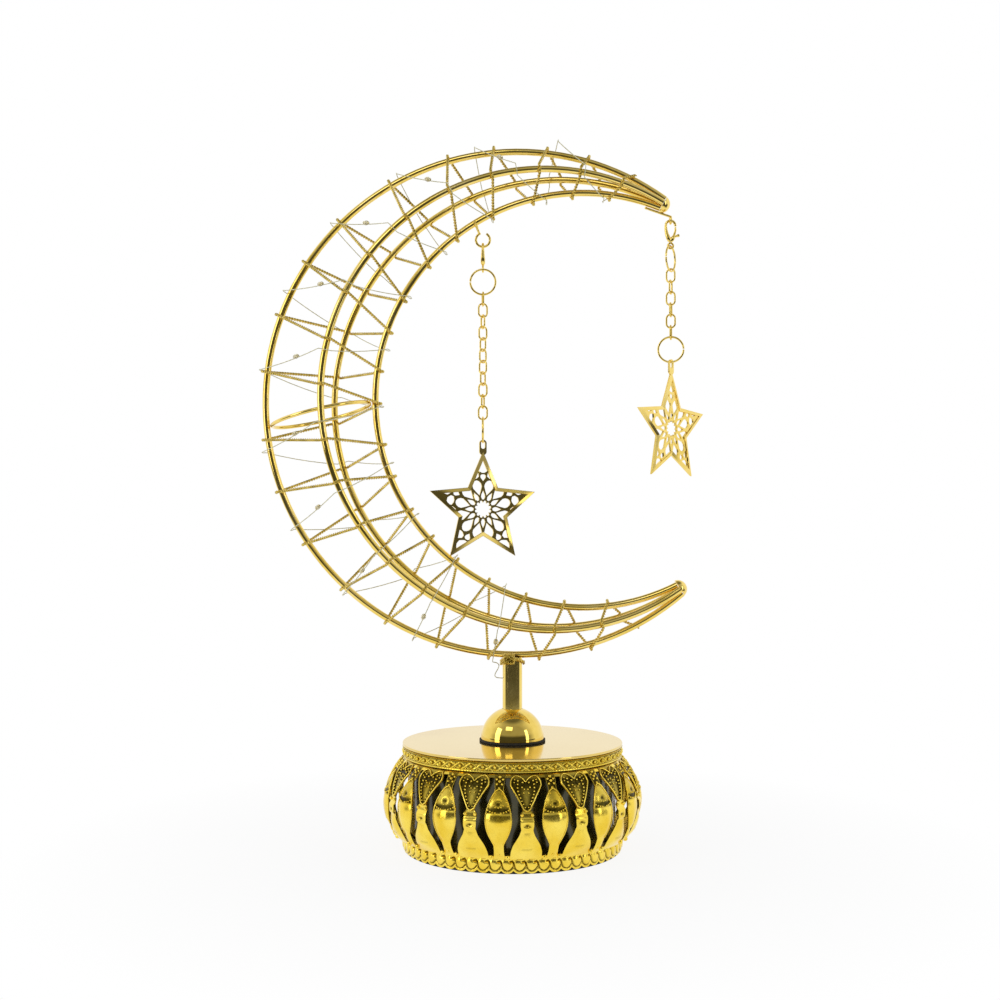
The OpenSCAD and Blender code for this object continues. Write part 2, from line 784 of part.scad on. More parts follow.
// Stem
module stem_tube() {
    top = seat_z - cope_share * wire_d;
    color("gold") difference() {
        translate([0, 0, stem_z0]) cylinder(d = stem_d, h = top - stem_z0, $fn = round_fn);
        translate([0, 0, stem_z0 - over]) cylinder(r = stem_bore_r, h = top, $fn = round_fn);
        wire(outer_arc, wire_d + 2 * gap);
        translate([0, 0, stem_hole_z]) rotate([0, -90, 0])
            cylinder(r = stem_hole_r, h = stem_d, $fn = wire_fn);
    }
}

module stem_nipple() {
    color("goldenrod") difference() {
        union() {
            translate([0, 0, stem_z0])
                cylinder(r = stem_bore_r - screw_fit, h = nipple_h, $fn = round_fn);
            translate([0, 0, rod_z0]) cylinder(d = rod_d, h = rod_len, $fn = round_fn);
        }
        translate([0, 0, rod_z0 - over])
            cylinder(r = nipple_bore_r, h = rod_len + 2 * over, $fn = wire_fn);
    }
}

washer_z = base_h - plate_t - gap - washer_t;
module nut_washer() {
    color("silver") difference() {
        disc(washer_r, washer_t, washer_z);
        disc(rod_d / 2 + rod_play, washer_t + 2 * over, washer_z - over);
    }
}
module lock_nut() {
    color("silver") difference() {
        translate([0, 0, washer_z - gap - nut_h]) cylinder(d = nut_flat_d, h = nut_h, $fn = 6);
        disc(rod_d / 2 + screw_fit, nut_h + 2 * over, washer_z - gap - nut_h - over);
    }
}

module dome_cap() {
    color("gold") difference() {
        translate([0, 0, dome_z]) sphere(r = dome_r, $fn = round_fn);
        translate([0, 0, dome_z]) sphere(r = dome_r - dome_t, $fn = round_fn);
        disc(dome_r + over, dome_r + over, dome_z - dome_r - over);
        disc(stem_d / 2 + gap, 2 * dome_r, dome_z);
    }
}
module dome_gasket() {
    color("#101010")
        hoop_band(dome_r + gasket_lip, dome_r - dome_t, base_h + gap, base_h + gap + gasket_t);
}

// Crescent
module crescent_frame() {
    translate([chord_x, 0, chord_z]) rotate([0, -lean, 0]) rotate([90, 0, 180]) children();
}
module wire(a, d) {
    crescent_frame() translate([0, 0, a[4]]) rotate([0, a[3], 0]) translate([a[0], 0, 0])
        rotate([0, 0, -a[2]]) rotate_extrude(angle = 2 * a[2], $fn = round_fn)
            translate([a[1], 0]) circle(d = d, $fn = wire_fn);
}
module outer_wire() {
    color("gold") wire(outer_arc, wire_d);
}
module inner_wire() {
    color("gold") wire(inner_arc, wire_d);
}
module front_wire() {
    color("gold") wire(front_arc, wire_d);
}
module back_wire() {
    color("gold") wire(back_arc, wire_d);
}

module weld_cap() {
    ball_r = (weld_r * weld_r + weld_h * weld_h) / (2 * weld_h);
    intersection() {
        translate([0, weld_h - ball_r, 0]) sphere(r = ball_r, $fn = round_fn);
        translate([-weld_r, 0, -weld_r]) cube([2 * weld_r, weld_h + over, 2 * weld_r]);
    }
}
module tip_welds() {
    color("gold") crescent_frame() for (end = [0, 1]) mirror([0, end, 0])
        translate([0, half_chord, 0]) rotate([0, 0, side_arc[2]]) translate([0, weld_gap, 0]) weld_cap();
}

module spreader_hoop() {
    a = wire_point(outer_arc, hoop_outer_share);
    b = wire_point(inner_arc, hoop_inner_share);
    roll = -atan2(b[2] - a[2], b[0] - a[0]);
    color("gold") translate(mix(a, b, 0.5)) rotate([0, roll, 0]) rotate([hoop_pitch, 0, 0])
        rotate_extrude($fn = round_fn) translate([hoop_r, 0]) circle(d = hoop_wire_d, $fn = wire_fn);
}

module wrap_wire() {
    route = wrap_route();
    echo(wrap_least_gap = least_gap(route, wrap_d, apart = 10));
    color("#d8b840") tube(route, wrap_d);
}
module light_wire() {
    route = light_route();
    echo(light_wire_least_gap = least_gap(route, light_wire_d, apart = 12));
    color("#a0a070") tube(route, light_wire_d);
}
module drop_bead() {
    bore_r = light_wire_d / 2 + gap;
    rotate_extrude($fn = drop_sides) polygon(concat(
        [[bore_r, -drop_len / 2]],
        [for (p = drop_outline_shares) [p[1] * drop_d / 2, p[0] * drop_len]],
        [[bore_r, drop_len / 2]]
    ));
}
module light_drops() {
    color("#fff4c0") for (turn = [1:light_turns - 1]) {
        a = light_stops[4 * turn - 4];
        b = light_stops[4 * turn - 3];
        side = outward(a, b);
        from = a[0] + a[2] * side;
        to = b[0] + b[2] * side;
        v = to - from;
        translate(mix(from, to, drop_place_share))
            rotate([0, acos(v[2] / norm(v)), atan2(v[1], v[0])]) drop_bead();
    }
}
module stem_binding() {
    route = coil_route(binding_r, binding_z, binding_pitch, binding_turns, 24);
    echo(stem_binding_least_gap = least_gap(route, binding_d, apart = 60));
    color("#d8b840") tube(route, binding_d);
}

// Hooks
module left_hook() {
    seat = wire_point(inner_arc, hook_share);
    axis = wire_dir(inner_arc, hook_share);
    radial = unit(cross(axis, [0, 1, 0]));
    curl_r = wire_d / 2 + 2 * gap + hook_wire_d / 2;
    start = seat - [0, curl_r, 0];
    eye = [left_x, 0, left_eye_z];
    open_at = eye + left_eye_r * [-cos(eye_open), 0, sin(eye_open)];
    color("gold") {
        translate(seat) rotate([0, atan2(axis[0], axis[2]), 0]) rotate([0, 0, -90])
            rotate_extrude(angle = hook_curl, $fn = round_fn)
                translate([curl_r, 0]) circle(d = hook_wire_d, $fn = wire_fn);
        joint_ball(start, bend_ball_d);
        bar(start, open_at, hook_wire_d);
        joint_ball(open_at, bend_ball_d);
        translate(eye) rotate([90, 0, 0]) rotate([0, 0, 180 - eye_open])
            rotate_extrude(angle = 360 - eye_open, $fn = round_fn)
                translate([left_eye_r, 0]) circle(d = hook_wire_d, $fn = wire_fn);
    }
}
module tip_eyelet() {
    under = wire_d / 2 + 2 * gap + hook_wire_d / 2;
    mid = placed([inner_arc[0], 0, 0]);
    rise = sqrt(pow(inner_arc[1] - under, 2) - pow(eyelet_root_x - mid[0], 2));
    root = [eyelet_root_x, 0, mid[2] + rise];
    top = [right_x, 0, right_eye_z + right_eye_r];
    color("gold") {
        joint_ball(root, bend_ball_d);
        bar(root, top, hook_wire_d);
        translate([right_x, 0, right_eye_z]) rotate([0, 0, 90]) ring_shape(right_eye_r, hook_wire_d);
    }
}

// Clasps. Each is made with the wire that it hangs on at the origin, then placed.
module hung(x, top, yaw) {
    translate([x, 0, top]) rotate([0, 0, yaw]) children();
}
module clasp() {
    left_leg = [-clasp_arch_r, 0, clasp_arch_z];
    color("gold") difference() {
        union() {
            translate([0, 0, clasp_arch_z]) rotate([90, 0, 0]) rotate([0, 0, -10])
                rotate_extrude(angle = 190, $fn = round_fn)
                    translate([clasp_arch_r, 0]) circle(d = clasp_wire_d, $fn = wire_fn);
            bar([-clasp_arch_r, 0, clasp_body_z], left_leg, clasp_wire_d);
            translate([0, clasp_body_t / 2, clasp_body_z]) rotate([90, 0, 0])
                cylinder(r = clasp_body_r, h = clasp_body_t, $fn = round_fn);
            translate([0, 0, clasp_bar_z + clasp_eye_r]) ring_shape(clasp_eye_r, clasp_eye_wire_d);
        }
        translate([-clasp_arch_r + clasp_wire_d, -clasp_slot_w / 2, clasp_body_z - clasp_body_r / 2])
            cube([2 * clasp_body_r, clasp_slot_w, 2 * clasp_body_r]);
    }
    color("gold") translate([lever_pin_x, clasp_body_t / 2, lever_pin_z]) rotate([90, 0, 0])
        cylinder(r = lever_pin_r, h = clasp_body_t, $fn = wire_fn);
}
module clasp_lever() {
    tip = [clasp_arch_r, clasp_arch_z - clasp_wire_d];
    color("gold") difference() {
        union() {
            translate([0, lever_t / 2, 0]) rotate([90, 0, 0]) linear_extrude(lever_t) {
                translate([lever_pin_x, lever_pin_z]) circle(r = 2 * lever_pin_r, $fn = wire_fn);
                polygon([
                    [lever_pin_x, lever_pin_z - lever_pin_r],
                    [lever_pin_x + 2 * lever_pin_r, lever_pin_z],
                    tip + [lever_w / 2, 0],
                    tip - [lever_w / 2, 0],
                    [lever_pin_x - lever_pin_r, lever_pin_z + 2 * lever_pin_r]
                ]);
                polygon([
                    [lever_pin_x + lever_pin_r, lever_pin_z + lever_pin_r],
                    [lever_nub_x, lever_nub_z - lever_nub_r],
                    [lever_nub_x, lever_nub_z + lever_nub_r],
                    tip + [0, lever_nub_z + lever_nub_r - tip[1] + lever_nub_r]
                ]);
            }
            translate([lever_nub_x, lever_t, lever_nub_z]) rotate([90, 0, 0])
                cylinder(r = lever_nub_r, h = 2 * lever_t, $fn = wire_fn);
        }
        translate([lever_pin_x, clasp_body_t, lever_pin_z]) rotate([90, 0, 0])
            cylinder(r = lever_pin_r + lever_fit, h = 2 * clasp_body_t, $fn = wire_fn);
    }
}

// Rings, links and stars
module ring(x, z, yaw) {
    color("gold") translate([x, 0, z]) rotate([0, 0, yaw]) ring_shape(ring_r, ring_wire_d, ring_open);
}
module link(x, z, yaw) {
    half_straight = link_len / 2 - link_w / 2;
    color("gold") translate([x, 0, z]) rotate([0, 0, yaw]) {
        for (up = [0, 180]) rotate([0, up, 0]) translate([0, 0, half_straight]) rotate([90, 0, 0])
            rotate_extrude(angle = 180, $fn = round_fn)
                translate([link_arc_r, 0]) circle(d = link_wire_d, $fn = wire_fn);
        for (side = [-1, 1]) translate([side * link_arc_r, 0, -half_straight])
            cylinder(d = link_wire_d, h = 2 * half_straight, $fn = wire_fn);
    }
}

module around_star(offset) {
    for (k = [0:rosette - 1]) rotate([0, 0, (k + offset) * 360 / rosette]) children();
}
module cell(shares) {
    polygon(star_r * concat(
        [for (s = shares) [s[1], s[0]]],
        [for (k = [len(shares) - 1:-1:0]) [-shares[k][1], shares[k][0]]]
    ));
}
module star_outline(inset = 0) {
    edge = star_r * star_inner_r * sin(180 / points);
    side = norm([star_inner_r * sin(180 / points), star_r - star_inner_r * cos(180 / points)]);
    shrink = 1 - inset * side / edge;
    polygon([
        for (k = [0:2 * points - 1])
            let (r = shrink * (k % 2 == 0 ? star_r : star_inner_r), a = 180 * k / points)
            [r * sin(a), r * cos(a)]
    ]);
}
module star_holes() {
    circle(r = star_r * hub_shares[0], $fn = wire_fn);
    around_star(0.5) translate([0, star_r * hub_shares[1]]) circle(r = star_r * hub_shares[2], $fn = wire_fn);
    around_star(0) cell(petal_shares);
    intersection() {
        star_outline(border_w);
        union() {
            around_star(0.5) cell(tear_shares);
            around_star(0) cell(kite_shares);
            around_star(0.5) cell(cell_shares);
            around_star(0) cell(tip_shares);
        }
    }
    rotate([0, 0, 180]) translate([0, star_r * pip_shares[0]])
        circle(r = star_r * pip_shares[1], $fn = wire_fn);
}
module star_eye(z, r, straight) {
    translate([0, z]) circle(r = r, $fn = wire_fn);
    translate([0, z - straight]) circle(r = r, $fn = wire_fn);
    translate([-r, z - straight]) square([2 * r, straight]);
}
module star(x, z, yaw) {
    eye_z = star_drop + star_eye_top - eye_w / 2;
    color("gold") translate([x, 0, z]) rotate([0, 0, yaw]) translate([0, star_t / 2, 0])
        rotate([90, 0, 0]) difference() {
            union() {
                linear_extrude(star_t) star_outline();
                linear_extrude(star_t) star_eye(eye_z, eye_w / 2, eye_z - star_r);
            }
            translate([0, 0, -over]) linear_extrude(star_t + 2 * over) {
                star_holes();
                star_eye(eye_z, eye_w / 2 - eye_wall, eye_rise);
            }
        }
}

top_plate();
upper_band();
gallery_band();
lower_band();
inner_drum();
bottom_plate();
bottom_screws();
foot_pad();
battery_case();
batteries();
battery_contacts();
battery_door();
switch_body();
switch_knob();
stem_tube();
stem_nipple();
lock_nut();
nut_washer();
dome_cap();
dome_gasket();
light_driver();
outer_wire();
inner_wire();
front_wire();
back_wire();
tip_welds();
spreader_hoop();
wrap_wire();
light_wire();
light_drops();
stem_binding();
left_hook();
tip_eyelet();
hung(left_x, left_eye_top, 90) clasp();  // left_clasp
hung(left_x, left_eye_top, 90) clasp_lever();  // left_clasp_lever
ring(left_x, ring_mid(left_eye_top), 0);  // left_ring
for (k = [1:left_links])
    link(left_x, link_mid(left_eye_top, k), k * left_link_turn);
ring(left_x, star_ring_mid(left_eye_top, left_links), left_star_ring_yaw);  // left_star_ring
star(left_x, star_mid(left_eye_top, left_links), left_star_yaw);  // left_star
hung(right_x, right_eye_top, 0) clasp();  // right_clasp
hung(right_x, right_eye_top, 0) clasp_lever();  // right_clasp_lever
ring(right_x, ring_mid(right_eye_top), right_ring_yaw);  // right_ring
for (k = [1:right_links])
    link(right_x, link_mid(right_eye_top, k), right_ring_yaw + k * right_link_turn);
ring(right_x, star_ring_mid(right_eye_top, right_links), right_star_ring_yaw);  // right_star_ring
star(right_x, star_mid(right_eye_top, right_links), right_star_yaw);  // right_star
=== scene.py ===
# %% [markdown]
# # A crescent ornament with two hanging stars
# The solids of the ornament are already made. This lesson dresses them: it adds the embossed
# sheet of the base, the twisted wire round the crescent, and the bright and worn gold that a
# plain solid doesn't have. Sizes of shapes are in millimetres, and the factor MM turns them
# into Blender's metres. Lamps and shaders work in metres.

import json
from math import asin, atan2, cos, exp, hypot, pi, radians, sin, tau

import bpy
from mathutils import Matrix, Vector


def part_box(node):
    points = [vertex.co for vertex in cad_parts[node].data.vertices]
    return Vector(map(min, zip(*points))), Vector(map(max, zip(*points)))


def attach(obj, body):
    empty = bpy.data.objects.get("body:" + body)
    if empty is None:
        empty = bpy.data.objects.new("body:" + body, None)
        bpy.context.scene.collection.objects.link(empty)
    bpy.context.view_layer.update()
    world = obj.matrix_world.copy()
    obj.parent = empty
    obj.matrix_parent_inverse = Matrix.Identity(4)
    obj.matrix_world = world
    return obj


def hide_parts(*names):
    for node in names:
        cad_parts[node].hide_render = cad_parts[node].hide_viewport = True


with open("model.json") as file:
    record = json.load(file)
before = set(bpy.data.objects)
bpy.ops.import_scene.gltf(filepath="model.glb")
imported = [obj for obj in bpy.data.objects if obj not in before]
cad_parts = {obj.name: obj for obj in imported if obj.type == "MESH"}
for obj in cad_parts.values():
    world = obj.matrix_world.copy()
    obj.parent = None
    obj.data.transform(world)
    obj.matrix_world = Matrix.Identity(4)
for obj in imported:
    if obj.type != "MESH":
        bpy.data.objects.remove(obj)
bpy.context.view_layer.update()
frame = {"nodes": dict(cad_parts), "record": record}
nodes = frame["nodes"]
MM = 0.001

# %% [markdown]
# ## The camera
# The photograph was taken from 0.66 m away, level with the lower half of the crescent and
# looking a little up. Upright lines stay almost upright, so the lens isn't shifted.

# %% Camera
CAMERA_PLACE = (-6.15, -663.8, 156.5)
CAMERA_PITCH = 91.324
LENS, SENSOR = 47.92, 36
bpy.ops.object.camera_add(
    location=[c * MM for c in CAMERA_PLACE], rotation=(radians(CAMERA_PITCH), 0, 0)
)
camera = bpy.context.object
camera.data.lens = LENS
camera.data.sensor_width = SENSOR
camera.data.clip_start = 0.01
bpy.context.scene.camera = camera
bpy.context.scene.view_settings.view_transform = "Standard"
print("camera at", tuple(round(c, 4) for c in camera.location))

# %% [markdown]
# ## Shader maths
# A finish is easier to read as a sum than as a web of nodes. `Flow` wraps one output of a
# node tree, and the usual signs add the Math nodes. `Finish` is a material with one
# Principled shader, and its `node` adds any other kind of node. Every pattern is laid on the
# piece's own coordinates, so it moves with the piece.


# %% Flow
class Flow:
    """One value of a node tree. The usual signs work on it."""

    def __init__(self, tree, socket):
        self.tree, self.socket = tree, socket

    def maths(self, kind, *others):
        node = self.tree.nodes.new("ShaderNodeMath")
        node.operation = kind
        for place, value in zip(node.inputs, (self, *others)):
            put(self.tree, place, value)
        return Flow(self.tree, node.outputs[0])

    def __add__(self, other):
        return self.maths("ADD", other)

    def __mul__(self, other):
        return self.maths("MULTIPLY", other)

    def __sub__(self, other):
        return self.maths("SUBTRACT", other)

    def __rsub__(self, other):
        return self * -1 + other

    def __pow__(self, other):
        return self.maths("POWER", other)

    __radd__ = __add__
    __rmul__ = __mul__

    def held(self, low=0.0, high=1.0):
        return self.maths("MAXIMUM", low).maths("MINIMUM", high)

    def step(self, low, high):
        """0 below low, 1 above high, and even in between."""
        return ((self - low) * (1 / (high - low))).held()


# %% Finish
def put(tree, place, value):
    if isinstance(value, Flow):
        tree.links.new(value.socket, place)
    else:
        place.default_value = value


class Finish:
    """A material with one Principled shader. Constants go straight on its sockets."""

    def __init__(self, name, **constants):
        self.material = bpy.data.materials.new(name)
        self.material.use_nodes = True
        self.tree = self.material.node_tree
        self.shader = next(n for n in self.tree.nodes if n.type == "BSDF_PRINCIPLED")
        self.set(**constants)

    def set(self, **values):
        for key, value in values.items():
            put(self.tree, self.shader.inputs[key.replace("_", " ")], value)

    def node(self, kind, output=0, settings=(), **values):
        node = self.tree.nodes.new(kind)
        for key, value in dict(settings).items():
            setattr(node, key, value)
        for key, value in values.items():
            put(self.tree, node.inputs[key.replace("_", " ")], value)
        return Flow(self.tree, node.outputs[output])

    def place(self):
        return self.node("ShaderNodeTexCoord", "Object")

    def axis(self, letter):
        return self.node("ShaderNodeSeparateXYZ", letter, Vector=self.place())

    def noise(self, scale, detail=2.0):
        return self.node("ShaderNodeTexNoise", Vector=self.place(), Scale=scale, Detail=detail)

    def colours(self, factor, *stops):
        """A colour that runs through the stops, each (place, colour)."""
        node = self.tree.nodes.new("ShaderNodeValToRGB")
        ramp = node.color_ramp
        while len(ramp.elements) < len(stops):
            ramp.elements.new(0.5)
        for element, (place, colour) in zip(ramp.elements, stops):
            element.position = place
            element.color = (*colour, 1)
        put(self.tree, node.inputs[0], factor)
        return Flow(self.tree, node.outputs[0])

    def bumps(self, height, strength, distance):
        self.set(
            Normal=self.node("ShaderNodeBump", Strength=strength, Distance=distance, Height=height)
        )


print("shader helpers ready")

# %% [markdown]
# ## Gold
# Every bright part is thin gold plate over steel or zinc. Plate isn't one colour: it is a
# little redder where it is thin, and handling leaves soft smears that change its gloss. The
# colour and the roughness both follow slow noise, and a fine noise makes the faint ripple of
# a plated surface. One recipe with a few numbers makes each kind of gold: `rough` is the
# gloss, `smear` how far it changes, and `ripple` the strength of the fine noise.

# %% Gold recipes
PALE, RICH, DEEP = (0.97, 0.76, 0.27), (0.88, 0.65, 0.15), (0.66, 0.46, 0.07)
BUMP_DEPTH = 0.0001


def gold(name, rough, smear=0.1, ripple=0.1, pale=PALE, rich=RICH, deep=DEEP, scale=60.0):
    finish = Finish(name, Metallic=1.0)
    slow = finish.noise(scale, 3.0)
    fine = finish.noise(scale * 14, 3.0)
    finish.set(
        Base_Color=finish.colours(slow * 0.8 + fine * 0.2, (0.25, deep), (0.45, rich), (0.7, pale)),
        Roughness=(slow.step(0.4, 0.75) * smear + fine * 0.04 + rough).held(0.03, 0.9),
    )
    finish.bumps(fine, ripple, BUMP_DEPTH)
    return finish


wire_gold = gold("wire gold", 0.05, smear=0.07, ripple=0.04)
star_gold = gold("star gold", 0.1, smear=0.1, ripple=0.03, scale=30.0)
dome_gold = gold("dome gold", 0.03, smear=0.05, ripple=0.02, scale=25.0)
twisted_gold = gold(
    "twisted gold", 0.1, smear=0.1, ripple=0.15, scale=160.0,
    pale=(0.85, 0.66, 0.2), rich=(0.62, 0.46, 0.09), deep=(0.26, 0.19, 0.03),
)
plain_brass = gold("plain brass", 0.3, smear=0.2, pale=(0.8, 0.56, 0.2), rich=(0.7, 0.45, 0.14))
print("gold recipes ready")

# %% [markdown]
# ## Gold of the plate and of the pressed sheet
# The flat top plate is almost a mirror, with the hair-fine rings that polishing on a wheel
# leaves. The pressed sheet of the base is yellower, and the dips between its beads get painted
# shade: their colour goes towards a very dark brown, standing in for the shade that falls in
# them. How much painted shade each place gets is a number stored on the mesh, so the painted
# shade follows the pressing exactly.

# %% Plate and pressed gold
plate_gold = gold(
    "plate gold", 0.07, smear=0.06, ripple=0.0, scale=18.0,
    pale=(0.85, 0.65, 0.23), rich=(0.81, 0.6, 0.18), deep=(0.75, 0.53, 0.14),
)
POLISH_WAVES = 9000.0
across_x, across_y = (plate_gold.axis(letter) for letter in "XY")
from_axis = (across_x * across_x + across_y * across_y) ** 0.5
rings = (from_axis * POLISH_WAVES).maths("SINE") * 0.5 + 0.5
plate_gold.bumps(rings * 0.5 + plate_gold.noise(900.0) * 0.5, 0.03, BUMP_DEPTH)

pressed_gold = gold(
    "pressed gold", 0.16, smear=0.12, ripple=0.15, scale=70.0,
    pale=(0.95, 0.7, 0.1), rich=(0.86, 0.57, 0.035), deep=(0.66, 0.38, 0.015),
)
# Painted shade: the dark colour that the dips of the pressed sheet are mixed towards.
SHADOW = (0.022, 0.016, 0.002, 1)
painted_shade = pressed_gold.node("ShaderNodeAttribute", 2, {"attribute_name": "painted_shade"})
worn = pressed_gold.noise(900.0, 3.0)
# How far each place goes towards the painted shade: mostly the shade number on the mesh, plus a
# little random darkening from the fine noise.
dark = (painted_shade * 0.95 + worn * 0.25 - 0.12).held()
yellow = pressed_gold.colours(
    pressed_gold.noise(80.0, 3.0), (0.3, (0.88, 0.6, 0.04)), (0.65, (1.0, 0.77, 0.12))
)
shaded = pressed_gold.node("ShaderNodeMix", 2, {"data_type": "RGBA"})
for place, value in ((0, dark), (6, yellow), (7, SHADOW)):
    put(pressed_gold.tree, shaded.socket.node.inputs[place], value)
pressed_gold.set(Base_Color=shaded, Roughness=(dark * 0.3 + worn * 0.12 + 0.12).held(0.05, 0.8))
print("plate and pressed gold ready")

# %% [markdown]
# ## The darker and duller materials
# Behind the pierced sheet stands a drum in glossy olive, so dark that its colour also paints
# in the shade inside the base. Under the base are black plastic, foam rubber and zinc-plated
# screws, and the light string is thin wire in grey-green lacquer with small clear drops.

# %% Flecked finishes
def flecked(name, scale, dull, bright, rough, spread, detail=2.0, first=0.3, ripple=0, **constants):
    """A finish whose colour and gloss both follow one noise."""
    finish = Finish(name, **constants)
    fleck = finish.noise(scale, detail)
    finish.set(
        Base_Color=finish.colours(fleck, (first, dull), (0.7, bright)),
        Roughness=fleck * spread + rough,
    )
    if ripple:
        finish.bumps(fleck, ripple, BUMP_DEPTH)
    return finish


# A glossy olive drum whose very dark colour is partly painted shade, standing in for the shade
# inside the base.
drum_olive = flecked(
    "drum olive", 140.0, (0.03, 0.028, 0.006), (0.09, 0.08, 0.02), 0.12, 0.2,
    first=0.35, Metallic=0.6, Coat_Weight=0.6, Coat_Roughness=0.08,
)
bottom_gold = gold(
    "bottom gold", 0.35, smear=0.15, ripple=0.3, pale=(0.8, 0.62, 0.25), rich=(0.74, 0.54, 0.18)
)
zinc = flecked(
    "zinc", 300.0, (0.42, 0.43, 0.45), (0.72, 0.73, 0.75), 0.2, 0.3, detail=4.0, Metallic=1.0
)
black_plastic = flecked(
    "black plastic", 1600.0, (0.012, 0.012, 0.012), (0.03, 0.03, 0.03), 0.4, 0.25,
    detail=3.0, ripple=0.25,
)
door_plastic = flecked(
    "door plastic", 500.0, (0.5, 0.36, 0.1), (0.64, 0.47, 0.15), 0.38, 0.2,
    detail=3.0, ripple=0.15, Metallic=0.4,
)
board_green = flecked(
    "board green", 1200.0, (0.01, 0.1, 0.035), (0.02, 0.2, 0.06), 0.3, 0.2, Coat_Weight=0.5
)
light_lacquer = flecked(
    "light lacquer", 500.0, (0.5, 0.47, 0.26), (0.78, 0.74, 0.48), 0.25, 0.2,
    Coat_Weight=0.5, Metallic=0.1,
)
drop_resin = flecked(
    "drop resin", 400.0, (0.95, 0.85, 0.5), (1.0, 0.95, 0.75), 0.05, 0.1,
    Transmission_Weight=0.6, IOR=1.5,
)
print("flecked finishes ready")

# %% Foam and cell sleeve
foam = Finish("foam rubber")
cells = foam.node("ShaderNodeTexVoronoi", "Distance", Vector=foam.place(), Scale=1400.0)
foam.set(
    Base_Color=foam.colours(cells, (0.1, (0.008, 0.008, 0.008)), (0.8, (0.035, 0.035, 0.034))),
    Roughness=cells * 0.2 + 0.75,
)
foam.bumps(cells, 0.5, 2 * BUMP_DEPTH)

SLEEVE_END = 0.019
sleeve = Finish("cell sleeve")
ends = sleeve.axis("X").maths("ABSOLUTE").step(SLEEVE_END, SLEEVE_END + 0.0002)
mottle = sleeve.noise(700.0)
sleeve.set(
    Base_Color=sleeve.colours(
        ends * 0.9 + mottle * 0.1, (0.1, (0.45, 0.12, 0.02)), (0.6, (0.6, 0.6, 0.62))
    ),
    Metallic=ends, Roughness=mottle * 0.15 + 0.25,
)
print("foam and sleeve ready")

# %% [markdown]
# ## Dressing the solids
# The record names a material slot for each solid. Here each slot gets its finish. A solid
# whose shape is already right only changes its look.

# %% Hand out the finishes
FINISHES = {
    "plate_gold": plate_gold, "band_gold": pressed_gold, "gallery_gold": pressed_gold,
    "drum_olive": drum_olive, "bottom_gold": bottom_gold, "zinc": zinc, "black_rubber": foam,
    "black_plastic": black_plastic, "door_plastic": door_plastic, "cell_sleeve": sleeve,
    "board_green": board_green, "wire_gold": wire_gold, "plain_brass": plain_brass,
    "dome_gold": dome_gold, "twisted_gold": twisted_gold, "light_lacquer": light_lacquer,
    "drop_resin": drop_resin, "star_gold": star_gold,
}
slot_of = {part["node"]: part["material_slot"] for part in frame["record"]["subparts"]}


def dress(piece, slot):
    piece.data.materials.clear()
    piece.data.materials.append(FINISHES[slot].material)


for name, solid in nodes.items():
    dress(solid, slot_of[name])
print("dressed", len(nodes), "solids in", len(set(slot_of.values())), "finishes")

# %% [markdown]
# ## Helpers for new pieces
# A flat grid is the start of every pressed sheet: its columns go round the base and its rows
# go up. The part of the grid that the press cuts out is deleted while it is flat. Then each
# vertex is moved to its place on the base, in or out by the depth of the pressing, and the
# ring is closed and given its thickness.


# %% Grid and cut
def only(piece):
    if bpy.context.object and bpy.context.object.mode != "OBJECT":
        bpy.ops.object.mode_set(mode="OBJECT")
    bpy.ops.object.select_all(action="DESELECT")
    piece.select_set(True)
    bpy.context.view_layer.objects.active = piece


def edit(piece, *steps):
    """Takes the steps in edit mode, with the whole mesh selected."""
    only(piece)
    bpy.ops.object.mode_set(mode="EDIT")
    bpy.ops.mesh.select_all(action="SELECT")
    for step in steps:
        step()
    bpy.ops.object.mode_set(mode="OBJECT")


def placed(name, data):
    piece = bpy.data.objects.new(name, data)
    bpy.context.scene.collection.objects.link(piece)
    return piece


def mesh_piece(name, points, faces):
    mesh = bpy.data.meshes.new(name)
    mesh.from_pydata(points, [], faces)
    return placed(name, mesh)


def cut_faces(piece, columns, rows, unwanted):
    """Deletes the faces for which unwanted(column, row) is true."""
    bpy.ops.object.mode_set(mode="EDIT")
    bpy.ops.mesh.select_all(action="DESELECT")
    bpy.ops.mesh.select_mode(type="FACE")
    bpy.ops.object.mode_set(mode="OBJECT")
    for face in piece.data.polygons:
        column = int((face.center.x + 0.5) * columns)
        row = int((face.center.y + 0.5) * rows)
        face.select = unwanted(column, row)
    bpy.ops.object.mode_set(mode="EDIT")
    bpy.ops.mesh.delete(type="FACE")
    bpy.ops.object.mode_set(mode="OBJECT")


# %% Press and close
MERGE = 1e-6


def press(piece, columns, rows, shape):
    """Moves each vertex to shape(column, row), which gives its place in mm and painted shade."""
    mesh = piece.data
    # Each vertex keeps a number for how much painted shade it gets.
    depth = mesh.attributes.new("painted_shade", "FLOAT", "POINT")
    for vertex in mesh.vertices:
        column = round((vertex.co.x + 0.5) * columns)
        row = round((vertex.co.y + 0.5) * rows)
        place, shade_here = shape(column, row)
        vertex.co = Vector(place) * MM
        depth.data[vertex.index].value = shade_here


def close_ring(piece):
    """Joins the first column to the last and turns the faces outwards."""
    edit(piece, lambda: bpy.ops.mesh.remove_doubles(threshold=MERGE))
    outwards = sum((f.normal.xy.dot(f.center.xy) * f.area for f in piece.data.polygons), 0.0)
    if outwards < 0:
        edit(piece, bpy.ops.mesh.flip_normals)


# %% Modify and hand over
def modify(piece, kind, **settings):
    only(piece)
    modifier = piece.modifiers.new(kind.lower(), kind)
    for key, value in settings.items():
        setattr(modifier, key, value)
    bpy.ops.object.modifier_apply(modifier=modifier.name)


def hand_over(piece, slot, body, *replaced, angle=80):
    """Smooths the piece, gives it its finish and its body, and hides the solid behind it."""
    only(piece)
    bpy.ops.object.shade_smooth_by_angle(angle=radians(angle))
    dress(piece, slot)
    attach(piece, body)
    if replaced:
        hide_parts(*replaced)
    triangles = sum(len(face.vertices) - 2 for face in piece.data.polygons)
    print(piece.name, triangles, "triangles")


